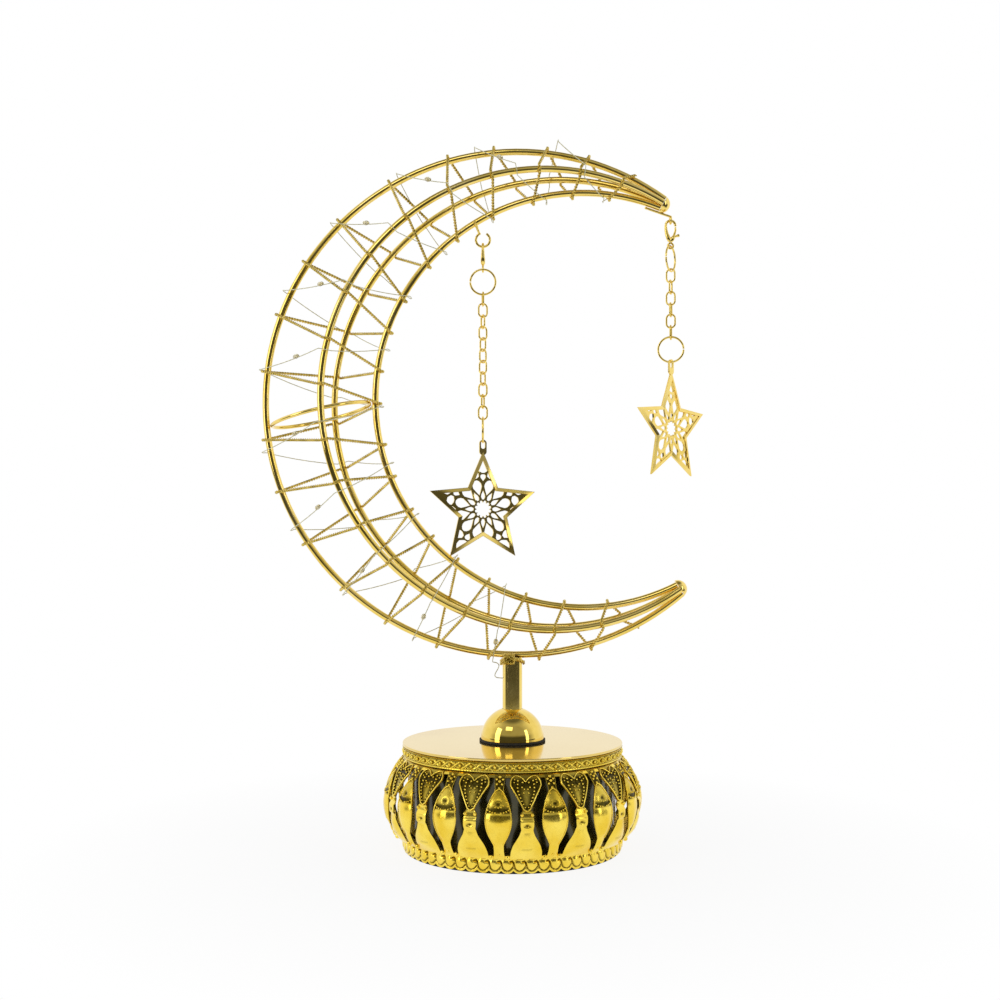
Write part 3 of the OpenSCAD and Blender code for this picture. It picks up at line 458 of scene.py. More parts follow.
def pressed_ring(name, columns, rows, shape, thickness, slot, node, angle, unwanted=None):
    """A pressed sheet that goes round the base and stands in for one solid."""
    bpy.ops.mesh.primitive_grid_add(x_subdivisions=columns, y_subdivisions=rows, size=1)
    piece = bpy.context.object
    piece.name = name
    if unwanted:
        cut_faces(piece, columns, rows, unwanted)
    press(piece, columns, rows, shape)
    close_ring(piece)
    modify(piece, "SOLIDIFY", thickness=thickness * MM, offset=-1)
    hand_over(piece, slot, "root", node, angle=angle)


# %% Numbers along a table, and a place round the base
def run(points, share):
    """The value at a share, along pairs that rise."""
    for (a, low), (b, high) in zip(points, points[1:]):
        if share <= b:
            t = (share - a) / (b - a)
            return low + (high - low) * max(0.0, min(1.0, t))
    return points[-1][1]


def hill(value, middle, width):
    return exp(-(((value - middle) / width) ** 2))


def around(radius, angle, z):
    """A place in mm, at an angle from the front."""
    return radius * sin(angle), -radius * cos(angle), z


print("helpers ready")

# %% [markdown]
# ## The pierced gallery
# The belly of the base is thin sheet, pressed and cut into fifteen pointed leaves with a
# beaded heart on a bell between each two. The grid has its own columns for leaf, slit and
# heart, so the edge of every slit is a clean line of vertices. Pillow-like lifts make the
# leaf and the bell catch light down their middles, and a raised rim runs round the heart.

# %% Gallery: the plan of one leaf and one heart
LEAVES = 15
LEAF_AZ = radians(-6.4)
SECTOR = tau / LEAVES
BULGE_MID, BULGE_R, BULGE_Z = 34.2, 28.5, 24.44
GALLERY_LOW, GALLERY_HIGH = 7.75, 45.95
SLIT_LOW, SLIT_HIGH, GALLERY_T = 0.04, 0.95, 0.55
FOOT_RADII, FOOT_Z = (52.0, 55.0), 8.1
COLLAR_R, COLLAR_ZS = 53.2, (47.0, 49.0, 50.8)
# Each row is (share of the height, share of the way from the leaf's middle to the heart's).
leaf_edge = [
    (0, 0.25), (0.04, 0.2), (0.1, 0.18), (0.17, 0.18), (0.2, 0.21), (0.25, 0.285), (0.3, 0.36),
    (0.35, 0.415), (0.4, 0.455), (0.45, 0.475), (0.5, 0.48), (0.55, 0.465), (0.6, 0.435),
    (0.65, 0.395), (0.7, 0.34), (0.75, 0.268), (0.8, 0.18), (0.83, 0.155), (0.88, 0.18),
    (0.95, 0.21), (1, 0.28),
]
heart_edge = [
    (0, 0.36), (0.04, 0.41), (0.1, 0.43), (0.17, 0.5), (0.2, 0.545), (0.25, 0.635), (0.3, 0.725),
    (0.37, 0.795), (0.42, 0.77), (0.52, 0.77), (0.55, 0.75), (0.57, 0.79), (0.6, 0.865),
    (0.65, 0.795), (0.7, 0.71), (0.75, 0.625), (0.8, 0.53), (0.84, 0.45), (0.87, 0.39),
    (0.91, 0.39), (0.95, 0.43), (1, 0.36),
]
leaf_columns, slit_columns, heart_columns = 9, 2, 10
sector = 2 * (leaf_columns + slit_columns + heart_columns)
slit_rows = 62
slit_shares = [SLIT_LOW + (SLIT_HIGH - SLIT_LOW) * k / slit_rows for k in range(slit_rows + 1)]
row_shares = [0.0, SLIT_LOW] + slit_shares[1:] + [0.972, 1.0]
foot_rows, collar_rows = len(FOOT_RADII), len(COLLAR_ZS)
last_row = foot_rows + len(row_shares) - 1
rows = last_row + collar_rows
columns = sector * LEAVES
print("gallery grid", columns, "by", rows)


# %% Gallery: where a column lies
def part_of(column):
    """Kind of the column, its place from the kind's middle, and the side of the leaf."""
    k = column % sector
    side = 1 if k <= sector // 2 else -1
    k = k if side == 1 else sector - k
    if k <= leaf_columns:
        return "leaf", k / leaf_columns, side
    if k < leaf_columns + slit_columns:
        return "slit", (k - leaf_columns) / slit_columns, side
    return "heart", 1 - (k - leaf_columns - slit_columns) / heart_columns, side


def across_share(kind, t, share):
    leaf, heart = run(leaf_edge, share), run(heart_edge, share)
    if kind == "leaf":
        return leaf * t
    if kind == "slit":
        return leaf + (heart - leaf) * t
    return 1 - (1 - heart) * t


# %% Gallery: the pressing
LEAF_BODY = [(0, 0), (0.17, 0.15), (0.25, 0.8), (0.45, 1), (0.7, 0.7), (0.8, 0.1), (1, 0)]
LEAF_CAP = [
    (0, 0), (0.55, 0), (0.57, 1), (0.61, 1), (0.645, 0.3), (0.79, 0.3), (0.82, 1), (0.94, 1),
    (1, 0.3),
]
LEAF_CREASE = [(0, 0), (0.2, 0), (0.3, 1), (0.5, 1), (0.56, 0), (1, 0)]
BELL = [(0, 0), (0.04, 0.3), (0.12, 1), (0.26, 0.9), (0.34, 0.2), (0.37, 0), (1, 0)]
BLOCK = [(0, 0), (0.36, 0), (0.385, 1), (0.48, 1), (0.51, 0), (1, 0)]
HEART = [(0, 0), (0.57, 0), (0.6, 1), (0.93, 1), (0.96, 0.6), (1, 0.3)]
HEART_PATCH = [(0, 0), (0.63, 0), (0.67, 1), (0.8, 0.8), (0.86, 0), (1, 0)]


def pressing(kind, t, share):
    """Lift in mm and painted shade, at a place of the pressed sheet."""
    if kind == "leaf":
        body = run(LEAF_BODY, share)
        cap = run(LEAF_CAP, share) * (t < 0.9)
        neck = hill(share, 0.105, 0.05) * (1 - t * t) * 0.6
        hole = hill(share, 0.665, 0.022) * hill(t, 0, 0.22)
        crease = hill(t, 0, 0.1) * run(LEAF_CREASE, share)
        lift = body * (1.5 * (1 - t * t) - 0.4 * cap) + neck - 0.9 * hole - 0.12 * crease
        # The upper cap of the leaf, away from its edges, and the hole in it get painted shade.
        return lift, min(1, cap + hole)
    if kind == "heart":
        bell, block, heart = (run(table, share) for table in (BELL, BLOCK, HEART))
        patch = hill(t, 0, 0.3) * run(HEART_PATCH, share)
        dent = hill(share, 0.425, 0.015) * hill(t, 0, 0.4)
        smile = hill(share, 0.14 + 0.02 * t * t, 0.01) * (t < 0.4)
        lift = bell * 1.1 * (1 - t * t) + block * (1.0 - 0.3 * t**4) - 0.9 * dent - 0.15 * smile
        lift -= 0.4 * heart * (t < 0.9)
        # The heart gets painted shade, less in a patch at its middle, and so do the dent and the
        # smile.
        return lift, min(1, heart * (t < 0.97) * (1 - 0.45 * patch) + dent + 0.3 * smile)
    return 0.0, 0.0


# %% Gallery: from the grid to the base
def on_gallery(angle, share, lift):
    """Place in mm at an angle from the front and a share of the gallery's height."""
    z = GALLERY_LOW + share * (GALLERY_HIGH - GALLERY_LOW)
    tilt = asin((z - BULGE_Z) / BULGE_R)
    reach = BULGE_R + lift
    return around(BULGE_MID + reach * cos(tilt), angle, BULGE_Z + reach * sin(tilt))


def leaf_angle(leaf, across):
    """Angle of a place, in leaves and in shares of the way to the next heart's middle."""
    return LEAF_AZ + SECTOR * (leaf + across / 2)


def gallery_place(column, row):
    kind, t, side = part_of(column)
    share = row_shares[max(0, min(row, last_row) - foot_rows)]
    leaf = column // sector + (side == -1)
    angle = leaf_angle(leaf, across_share(kind, t, share) * side)
    if row < foot_rows:
        return around(FOOT_RADII[row], angle, FOOT_Z), 0.0
    if row > last_row:
        # The collar gets a little painted shade.
        return around(COLLAR_R, angle, COLLAR_ZS[row - last_row - 1]), 0.2
    lift, shade_here = pressing(kind, t, share)
    return on_gallery(angle, share, lift), shade_here


def in_slit(column, row):
    in_gap = part_of(column)[0] == "slit" or part_of(column + 1)[0] == "slit"
    return in_gap and foot_rows < row < last_row - 2


pressed_ring(
    "gallery", columns, rows, gallery_place, GALLERY_T,
    "gallery_gold", "gallery_band", 50, in_slit,
)

# %% [markdown]
# ## Beads
# The press leaves hundreds of small round beads. One bead of a few faces is made once, cut
# flat below, and its points are set at each place with the flat side on the sheet.


# %% Bead maker
def bead_shape():
    bpy.ops.mesh.primitive_uv_sphere_add(segments=8, ring_count=6, radius=1)
    ball = bpy.context.object
    cut = {"plane_co": (0, 0, -0.3), "plane_no": (0, 0, 1), "clear_inner": True}
    edit(ball, lambda: bpy.ops.mesh.bisect(**cut), bpy.ops.mesh.edge_face_add)
    points = [vertex.co.copy() for vertex in ball.data.vertices]
    faces = [tuple(face.vertices) for face in ball.data.polygons]
    bpy.data.objects.remove(ball)
    return points, faces


bead_points, bead_faces = bead_shape()


def bead_string(name, places):
    """One mesh of all beads. Each place is (point in mm, outward direction, radius, height)."""
    points, faces = [], []
    for middle, out, radius, height in places:
        turn = Vector(out).to_track_quat("Z", "Y").to_matrix()
        first, size = len(points), Vector((radius, radius, height))
        points += [(Vector(middle) + turn @ (p * size)) * MM for p in bead_points]
        faces += [tuple(first + i for i in face) for face in bead_faces]
    piece = mesh_piece(name, points, faces)
    # Beads get no painted shade.
    piece.data.attributes.new("painted_shade", "FLOAT", "POINT")
    return piece


print("bead of", len(bead_faces), "faces")


# %% Beads of the gallery
def on_sheet(leaf, across, share, lift):
    return Vector(on_gallery(leaf_angle(leaf, across), share, lift))


def gallery_bead(leaf, side, row, middle=0, tall=1.0):
    """A bead of a table's row, at one side of the middle of a leaf (0) or a heart (1)."""
    across, share, radius, lift = row
    foot, head = (
        on_sheet(leaf, middle + side * across, share, lift - 0.1 * middle + up) for up in (0, 1)
    )
    return foot, head - foot, radius, radius * tall


# Rows of (across, share, radius, lift). Hearts count across from their own middle.
heart_beads = [
    (0.06, 0.632, 0.4, 0), (0.12, 0.667, 0.42, 0), (0.175, 0.702, 0.44, 0), (0.22, 0.737, 0.46, 0),
    (0.265, 0.772, 0.48, 0), (0.3, 0.808, 0.5, 0), (0.318, 0.845, 0.5, 0), (0.313, 0.882, 0.5, 0),
    (0.295, 0.918, 0.5, 0), (0.09, 0.79, 0.4, 0), (0.15, 0.85, 0.45, 0), (0.07, 0.83, 0.4, 0),
    (0.44, 0.9, 0.4, 0), (0.42, 0.93, 0.4, 0), (0.12, 0.9, 0.5, 0), (0.185, 0.545, 0.85, 0.2),
]
leaf_beads = [
    (0.36, 0.6, 0.42, 0.5), (0.28, 0.585, 0.42, 0.8), (0.19, 0.575, 0.42, 1),
    (0.1, 0.57, 0.42, 1.1), (0.32, 0.645, 0.38, 0.4), (0.27, 0.69, 0.38, 0.3),
    (0.2, 0.735, 0.38, 0.2), (0.11, 0.78, 0.36, 0.1), (0.1, 0.7, 0.34, 0.6),
    (0.17, 0.65, 0.34, 0.7), (0.1, 0.63, 0.4, 0.8), (0.1, 0.88, 0.6, 0),
    (0.12, 0.93, 0.6, 0), (0.3, 0.022, 1.3, -0.2),
]
middle_beads = [
    (0, 0.84, 0.6, 0), (0, 0.91, 0.75, 0), (0, 0.955, 0.8, 0), (0, 0.06, 0.85, 0),
    (0, 0.625, 0.4, 0.9),
]
places = []
for leaf in range(LEAVES):
    for side in (-1, 1):
        places += [gallery_bead(leaf, side, row, middle=1, tall=1.2) for row in heart_beads]
        places += [gallery_bead(leaf, side, row) for row in leaf_beads]
    places += [gallery_bead(leaf, 1, row) for row in middle_beads]
hand_over(bead_string("gallery_beads", places), "gallery_gold", "root")

# %% [markdown]
# ## Raised cords
# A thin raised cord outlines each leaf and each heart, and it is what glitters most on the
# real sheet. A curve with a round bevel follows each outline close to the sheet's face, and
# becomes a mesh that is half sunk in the sheet.


# %% Tube and cords
def tube(name, routes, radius, resolution=1, sizes=None):
    """A mesh of round tubes along the routes, in mm. Sizes swell the tube at its points."""
    curve = bpy.data.curves.new(name, "CURVE")
    curve.dimensions = "3D"
    curve.bevel_depth = radius * MM
    curve.bevel_resolution = resolution
    curve.use_fill_caps = True
    for route in routes:
        spline = curve.splines.new("POLY")
        spline.points.add(len(route) - 1)
        for k, (point, place) in enumerate(zip(spline.points, route)):
            point.co = (*(place * MM), 1)
            point.radius = sizes[len(curve.splines) - 1][k] if sizes else 1
    only(placed(name, curve))
    bpy.ops.object.convert(target="MESH")
    return bpy.context.object


CORD_R, CORD_INSET = 0.34, 0.03
heart_sides = (0.61, 0.65, 0.7, 0.75, 0.8, 0.84, 0.87, 0.89, 0.91)
leaf_sides = (0.18, 0.2, 0.25, 0.3, 0.35, 0.4, 0.45, 0.5, 0.55, 0.6, 0.65, 0.7, 0.75, 0.8)
heart_line = [(0.0, 0.585)]
heart_line += [(1 - run(heart_edge, share) - CORD_INSET, share) for share in heart_sides]
heart_line += [(0.54, 0.94), (0.47, 0.962), (0.38, 0.97), (0.27, 0.965)]
heart_line += [(0.16, 0.95), (0.07, 0.93), (0.0, 0.905)]
leaf_line = [(run(leaf_edge, share) - CORD_INSET, share) for share in leaf_sides]
leaf_line += [(0.07, 0.82), (0.0, 0.83)]
cords = []
for leaf in range(LEAVES):
    for side in (-1, 1):
        cords.append([on_sheet(leaf, 1 + side * u, share, 0.15) for u, share in heart_line])
        cords.append([on_sheet(leaf, side * u, share, 0.2) for u, share in leaf_line])
hand_over(tube("gallery_cords", cords, CORD_R), "gallery_gold", "root")

# %% [markdown]
# ## The two bands
# A narrow pressed strip runs round the top of the base and another round its foot. The upper
# one repeats an almond with a bead in it between two cords. The lower one is a row of round
# bosses with a curling groove between each two, and its bottom edge is scalloped. Both are
# grids as well, with the pattern written as a height over the strip.

# %% Upper band
BAND_R, RIM, STRIP_T = 53.95, 0.5, 0.4
UPPER_LOW, UPPER_HIGH = 46.1, 50.95
EYES, eye_columns, upper_rows = 60, 12, 16


def upper_place(column, row):
    angle = tau * column / (EYES * eye_columns)
    across = (column % eye_columns) / eye_columns * 2 - 1
    if row > upper_rows - 2:
        # The rim at the top gets a little painted shade.
        return around(BAND_R - RIM, angle, UPPER_HIGH), 0.3
    up = row / (upper_rows - 2)
    v = (up - 0.46) / 0.3
    shell = abs(across) ** 1.6 + abs(v) ** 1.6
    almond = hill(shell, 0.85, 0.22)
    cord = hill(up, 0.93, 0.05) + hill(up, 0.04, 0.05)
    beat = 0.5 + 0.5 * cos(4 * pi * across)
    lift = 0.5 * almond + cord * (0.35 + 0.3 * beat)
    # The dip between the almond and the cords gets painted shade.
    shade_here = 0.75 * (almond < 0.35) * (cord < 0.3)
    z = UPPER_LOW + up * (UPPER_HIGH - UPPER_LOW)
    return around(BAND_R + lift - 0.1, angle, z), shade_here


pressed_ring(
    "upper_strip", EYES * eye_columns, upper_rows, upper_place, STRIP_T,
    "band_gold", "upper_band", 60,
)

# %% Lower band
LOWER_LOW, LOWER_HIGH = 0.3, 7.6
SCROLLS, scroll_columns, lower_rows = 60, 18, 24
scroll_mm = tau * BAND_R / SCROLLS
wave = [
    (-0.3, 5.7), (-0.12, 5.9), (0.0, 5.2), (0.06, 4.0), (0.14, 2.6),
    (0.3, 1.75), (0.5, 1.45), (0.7, 1.75), (0.86, 2.6), (0.97, 3.4),
]


def to_line(u, z, line):
    """Distance in mm from a place of the strip to a line of (period, mm) points."""
    best = 1e9
    for (ua, za), (ub, zb) in zip(line, line[1:]):
        ax, bx, px = ua * scroll_mm, ub * scroll_mm, u * scroll_mm
        dx, dz = bx - ax, zb - za
        t = max(0.0, min(1.0, ((px - ax) * dx + (z - za) * dz) / (dx * dx + dz * dz)))
        best = min(best, hypot(px - ax - t * dx, z - za - t * dz))
    return best


scroll_shape = {}
for k in range(scroll_columns):
    for row in range(lower_rows + 1):
        u = k / scroll_columns
        edge = 1 - abs(2 * u - 1) ** 2.2
        low = LOWER_LOW + 1.3 * (1 - edge)
        z = low + min(1, row / (lower_rows - 2)) * (LOWER_HIGH - low)
        away = min(to_line(u + shift, z, wave) for shift in (-1, 0, 1))
        boss = max(0.0, 1 - ((u - 0.5) / 0.52) ** 2 - ((z - 4.0) / 3.2) ** 2)
        groove = hill(away, 0, 0.34)
        lift = 0.75 * boss**0.6 - 0.75 * groove + 0.3 * hill(z, 7.0, 0.35)
        scroll_shape[k, row] = z, lift, groove


def lower_place(column, row):
    angle = tau * column / (SCROLLS * scroll_columns)
    z, lift, groove = scroll_shape[column % scroll_columns, row]
    radius = BAND_R - (RIM if row > lower_rows - 2 else 0.1 - lift)
    # The curling groove gets painted shade.
    return around(radius, angle, z), 0.9 * groove


pressed_ring(
    "lower_strip", SCROLLS * scroll_columns, lower_rows, lower_place, STRIP_T,
    "band_gold", "lower_band", 60,
)

# %% Beads of the upper band
# Rows of (share of an almond, height, how far out, radius, how tall).
pearls = [(0.5, 48.35, 0.05, 0.8, 0.75), (0, 47.3, 0, 0.4, 0.45), (0, 49.4, 0, 0.4, 0.45)]
places = []
for k in range(EYES):
    for share, z, off, radius, tall in pearls:
        out = Vector(around(1, tau * (k + share) / EYES, 0))
        places.append((out * (BAND_R + off) + Vector((0, 0, z)), out, radius, tall))
hand_over(bead_string("band_beads", places), "band_gold", "root")

# %% [markdown]
# ## The arcs of the crescent
# The twisted wire has to pass over the four wires where the photograph shows it. The wires
# are arcs through the two tips, each in its own plane, so the same few lengths as in the
# solid give any point of them. A route is a list of crossings, each with a short bend round
# its wire.

# %% Arcs and crossings
CHORD = Vector((79.35, 0, 223.9))
HALF_CHORD, LEAN = 96.6, radians(2.34)
OUTER_BELLY, SIDE_BELLY, INNER_BELLY, HALF_WIDTH = 202.6, 173.4, 147.8, 27.4
WIRE_R, BUNDLE_R, WRAP_R, GAP = 1.65, 2.45, 0.85, 0.3


def turned(a, b, c):
    return Vector((-a * cos(LEAN) - b * sin(LEAN), c, -a * sin(LEAN) + b * cos(LEAN)))


def make_arc(belly, end, tilt, y):
    """Middle, radius and half angle of an arc in its plane, then the plane's tilt and place."""
    middle = (belly**2 - end[0] ** 2 - end[1] ** 2) / (2 * (belly - end[0]))
    return middle, belly - middle, atan2(end[1], end[0] - middle), tilt, y


side_tilt = asin((HALF_WIDTH - BUNDLE_R) / SIDE_BELLY)
front_arc = make_arc(SIDE_BELLY, (0, HALF_CHORD), side_tilt, -BUNDLE_R)
back_arc = make_arc(SIDE_BELLY, (0, HALF_CHORD), -side_tilt, BUNDLE_R)
end_x, end_y = BUNDLE_R * cos(front_arc[2]), BUNDLE_R * sin(front_arc[2])
outer_arc = make_arc(OUTER_BELLY, (end_x, HALF_CHORD + end_y), 0, 0)
inner_arc = make_arc(INNER_BELLY, (-end_x, HALF_CHORD - end_y), 0, 0)
print("arc radii:", [round(arc[1], 1) for arc in (outer_arc, front_arc, inner_arc)])


# %% Crossings
def crossing(arc, share, off):
    """Where a route passes a wire: its middle, its direction and how far off it stays."""
    middle, radius, half_angle, tilt, y = arc
    t = (2 * share - 1) * half_angle
    p, q = middle + radius * cos(t), radius * sin(t)
    place = CHORD + turned(p * cos(tilt), q, y - p * sin(tilt))
    way = turned(-sin(t) * cos(tilt), cos(t), sin(t) * sin(tilt))
    return place, way, off


def facing(a, b):
    """The outward side of the stretch between two crossings."""
    return (b[0] - a[0]).normalized().cross((a[1] + b[1]).normalized()).normalized()


BEND_POINTS = 6


def corner(stops, k):
    """The short bend round the wire at a crossing."""
    before, after = facing(stops[k - 1], stops[k]), facing(stops[k], stops[k + 1])
    shares = [i / (BEND_POINTS - 1) for i in range(BEND_POINTS)]
    return [stops[k][0] + stops[k][2] * before.slerp(after, share) for share in shares]


def end_point(stops, k):
    """The first (0) or the last (-1) point of a route."""
    first = 0 if k == 0 else -2
    return stops[k][0] + stops[k][2] * facing(stops[first], stops[first + 1])


# %% Route of the twisted wire
outer_shares = [
    0.967, 0.923, 0.886, 0.839, 0.798, 0.742, 0.686, 0.639, 0.587, 0.536,
    0.476, 0.429, 0.378, 0.327, 0.279, 0.23, 0.184, 0.14, 0.094, 0.048,
]
inner_shares = [
    0.937, 0.891, 0.842, 0.789, 0.737, 0.689, 0.637, 0.594, 0.545, 0.505,
    0.454, 0.413, 0.367, 0.325, 0.283, 0.237, 0.188, 0.14, 0.087,
]
STAND = WIRE_R + GAP + WRAP_R
stops = []
for inner, outer, after in zip(inner_shares, outer_shares, outer_shares[1:]):
    stops += [
        crossing(outer_arc, outer, STAND), crossing(front_arc, (outer + inner) / 2, STAND),
        crossing(inner_arc, inner, STAND), crossing(back_arc, (inner + after) / 2, STAND),
    ]
stops.append(crossing(outer_arc, outer_shares[-1], STAND))
wrap_route = [end_point(stops, 0)]
for k in range(1, len(stops) - 1):
    wrap_route += corner(stops, k)
wrap_route.append(end_point(stops, -1))
print("route of", len(wrap_route), "points")


# %% [markdown]
# ## Twisted wire
# The wire round the crescent is two thin strands twisted together. Each is a curve that
# spirals round the route, half a turn away from the other, and its bevel makes it thick. The
# route's points are first spread evenly, or the twist would bunch at the bends. At the end
# the curve becomes a mesh.


# %% Strands
def even_points(route, spacing):
    """Points at even distances along a route."""
    points, carry = [route[0]], 0.0
    for a, b in zip(route, route[1:]):
        length = (b - a).length
        if length < 1e-9:
            continue
        d = spacing - carry
        while d <= length:
            points.append(a.lerp(b, d / length))
            d += spacing
        carry = length - (d - spacing)
    return points + [route[-1]]


def spiral(route, offset, pitch, phase):
    """A strand that turns round the route once in each pitch."""
    points, side, along = [], None, 0.0
    for i, p in enumerate(route):
        way = (route[min(i + 1, len(route) - 1)] - route[max(i - 1, 0)]).normalized()
        if side is None:
            side = way.orthogonal()
        side = (side - way * side.dot(way)).normalized()
        along += (p - route[i - 1]).length if i else 0.0
        turn = tau * along / pitch + phase
        points.append(p + offset * (cos(turn) * side + sin(turn) * way.cross(side)))
    return points


STRAND_OFF, STRAND_R, TWIST = 0.45, 0.38, 3.2
wrap = even_points(wrap_route, 0.47)
strands = [spiral(wrap, STRAND_OFF, TWIST, phase) for phase in (0, pi)]
hand_over(tube("twisted_wire", strands, STRAND_R), "twisted_gold", "root", "wrap_wire")

# %% [markdown]
# ## The light string
# A thin lacquered wire with small drops is led up through the stem and wound loosely round
# the crescent. It isn't pulled tight: each straight stretch of the route sags a little under
# its own weight, and one loop stands wide over the top of the crescent. The drops are solids
# already, and keep their shape.

# %% Light wire
LIGHT_R = 0.22
LIGHT_OFF = STAND + WRAP_R + GAP + 0.3
TURNS, FIRST_SHARE, SHARE_SPAN, WIDE_STOP = 11, 0.18, 0.785, 3.2
wires = (outer_arc, front_arc, inner_arc, back_arc)
last_stop = len(wires) * TURNS
light_stops = []
for k in range(last_stop + 1):
    share = FIRST_SHARE + SHARE_SPAN * k / last_stop
    off = LIGHT_OFF + (WIDE_STOP if k == last_stop - len(wires) else 0)
    light_stops.append(crossing(wires[k % len(wires)], share, off))


def bezier(a, b, c, d, count):
    line = []
    for i in range(count + 1):
        t = i / count
        u = 1 - t
        line.append(a * u**3 + 3 * b * t * u**2 + 3 * c * t * t * u + d * t**3)
    return line


# %% Way up the stem, and the whole string
DRIVER_Y, DRIVER_Z, FEED_RISE, FEED_STEPS = 22, 8.5, 34.1, 12
HOLE_Z, HOLE_OUT, EASE = 83.3, 5.5, 9
hole = Vector((0, 0, HOLE_Z))
exit_point = hole - Vector((HOLE_OUT, 0, 0))
first_way = light_stops[0][1]
under = light_stops[0][0] + LIGHT_OFF * first_way.cross(Vector((0, 1, 0))).normalized()
feed = []
for i in range(FEED_STEPS + 1):
    y = -DRIVER_Y * (1 + cos(pi * i / FEED_STEPS)) / 2
    feed.append(Vector((0, y, DRIVER_Z + FEED_RISE * i / FEED_STEPS)))
feed += bezier(hole - Vector((0, 0, EASE)), hole, hole, exit_point, FEED_STEPS)
leave, reach = exit_point - Vector((EASE, 0, 0)), under - EASE * first_way
feed += bezier(exit_point, leave, reach, under, FEED_STEPS)[1:]
light_route = feed + [end_point(light_stops, 0)]
SAG, SAG_SHARES = Vector((0, 0, -0.02)), (0.2, 0.4, 0.6, 0.8)
for k in range(1, len(light_stops) - 1):
    bend = corner(light_stops, k)
    start = light_route[-1]
    sag = SAG * (bend[0] - start).length
    light_route += [start.lerp(bend[0], t) + sag * 4 * t * (1 - t) for t in SAG_SHARES]
    light_route += bend
light_route.append(end_point(light_stops, -1))
hand_over(tube("light_string", [light_route], LIGHT_R, 2), "light_lacquer", "root", "light_wire")

# %% [markdown]
# ## The binding of the stem
# Where the crescent sits on its stem, a few turns of the same twisted wire hold it, and a
# knot of its loose end sits at the front. Both are routes for the same two strands.

# %% Binding
COIL_TURNS, COIL_R, COIL_Z, COIL_STEPS = 3, 5.75, 90.3, 48
KNOT = Vector((-1.7, -6.5, 93.4))
THIN_OFF, THIN_R, THIN_TWIST = 0.3, 0.31, 3.4
coil = []
for i in range(COIL_TURNS * COIL_STEPS + 1):
    turn = tau * i / COIL_STEPS
    z = COIL_Z + 0.5 * turn / tau
    z += 2.3 * sin(turn) ** 2 + 0.4 * sin(1.3 * turn)
    coil.append(Vector((COIL_R * cos(turn), COIL_R * sin(turn), z)))
knot = []
for a in [0.19 * i for i in range(120)]:
    x, y, z = 2.5 * sin(1.7 * a), 0.8 * cos(2.3 * a), 2.3 * sin(a + 0.6)
    knot.append(KNOT + Vector((x, y, z)))
strands = []
for path in (coil, knot):
    path = even_points(path, 0.5)
    strands += [spiral(path, THIN_OFF, THIN_TWIST, phase) for phase in (0, pi)]
hand_over(tube("binding", strands, THIN_R), "twisted_gold", "root", "stem_binding")

# %% [markdown]
# ## Springs of the battery case
# Each cell is held between two tin plates, and a coil spring stands on one of them. The
# solid's coil has few sides, so a finer coil takes its place, and the plates get soft edges.

# %% Springs and plates
CELL_PITCH, SPRING_R, SPRING_WIRE_R, SPRING_CURLS, CURL_STEPS = 11, 2.6, 0.35, 3, 24
TAB_T, TAB_W = 0.4, 8.0
low, high = (corner_mm / MM for corner_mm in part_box("battery_contacts"))
cell_low, cell_high = (corner_mm / MM for corner_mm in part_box("batteries"))
middle = (cell_low + cell_high) / 2
cell_ys = [middle.y + CELL_PITCH * k for k in (-1, 0, 1)]
spring_start, spring_end = low.x + TAB_T + SPRING_WIRE_R, cell_low.x - SPRING_WIRE_R - 0.1
springs = []
for y in cell_ys:
    spring = []
    for i in range(CURL_STEPS * SPRING_CURLS + 1):
        turn = tau * i / CURL_STEPS
        x = spring_start + (spring_end - spring_start) * i / (CURL_STEPS * SPRING_CURLS)
        across, up = -SPRING_R * sin(turn), -SPRING_R * cos(turn)
        spring.append(Vector((x, y + across, middle.z + up)))
    springs.append(spring)
coils = tube("cell_springs", springs, SPRING_WIRE_R, 2)
tabs = []
for x in (low.x + TAB_T / 2, high.x - TAB_T / 2):
    for y in cell_ys:
        bpy.ops.mesh.primitive_cube_add(size=1, location=Vector((x, y, middle.z)) * MM)
        tab = bpy.context.object
        tab.scale = Vector((TAB_T, TAB_W, TAB_W)) * MM
        only(tab)
        bpy.ops.object.transform_apply(location=True, rotation=True, scale=True)
        modify(tab, "BEVEL", width=0.12 * MM, segments=2)
        tabs.append(tab)
only(coils)
for tab in tabs:
    tab.select_set(True)
bpy.ops.object.join()
hand_over(coils, "zinc", "root", "battery_contacts", angle=40)

# %% [markdown]
# ## Edges of the sheet parts
# A sharp edge never shines, and a real sheared edge always does a little. The stars, the
# lumps at the tips, the stem and the top plate are copies of their solids, merged, and given
# a narrow bevel. A star also gets its raised border, which slopes down to its outline, and
# each lump swells a little from its outermost point.


# %% Bevelled copies
def copied(node, name, width, segments=2, angle=35):
    piece = placed(name, nodes[node].data.copy())
    edit(
        piece,
        lambda: bpy.ops.mesh.remove_doubles(threshold=MERGE),
        lambda: bpy.ops.mesh.dissolve_limited(angle_limit=radians(0.5)),
    )
    limits = {"limit_method": "ANGLE", "angle_limit": radians(angle)}
    modify(piece, "BEVEL", width=width * MM, segments=segments, **limits)
    return piece


# %% Stars with their borders
STAR_R, NOTCH_R, BORDER, CORNERS = 28.8, 13.3, 1.8, 10
BORDER_STEPS = ((0.12, 0.35), (0.12, 0.5), (BORDER - 0.15, 0.95), (BORDER - 0.1, 0.4))
star_places = {"left": (-14.7, 167.25, 18), "right": (79.3, 207.5, 47)}


def star_line(inset):
    """The outline of a star, moved inwards, as points across and up."""
    edge = STAR_R * NOTCH_R * sin(pi / 5)
    length = hypot(NOTCH_R * sin(pi / 5), STAR_R - NOTCH_R * cos(pi / 5))
    shrink = 1 - inset * length / edge
    radii = [(STAR_R, NOTCH_R)[k % 2] * shrink for k in range(CORNERS)]
    turns = [pi * k / 5 for k in range(CORNERS)]
    return [(r * sin(turn), r * cos(turn)) for r, turn in zip(radii, turns)]


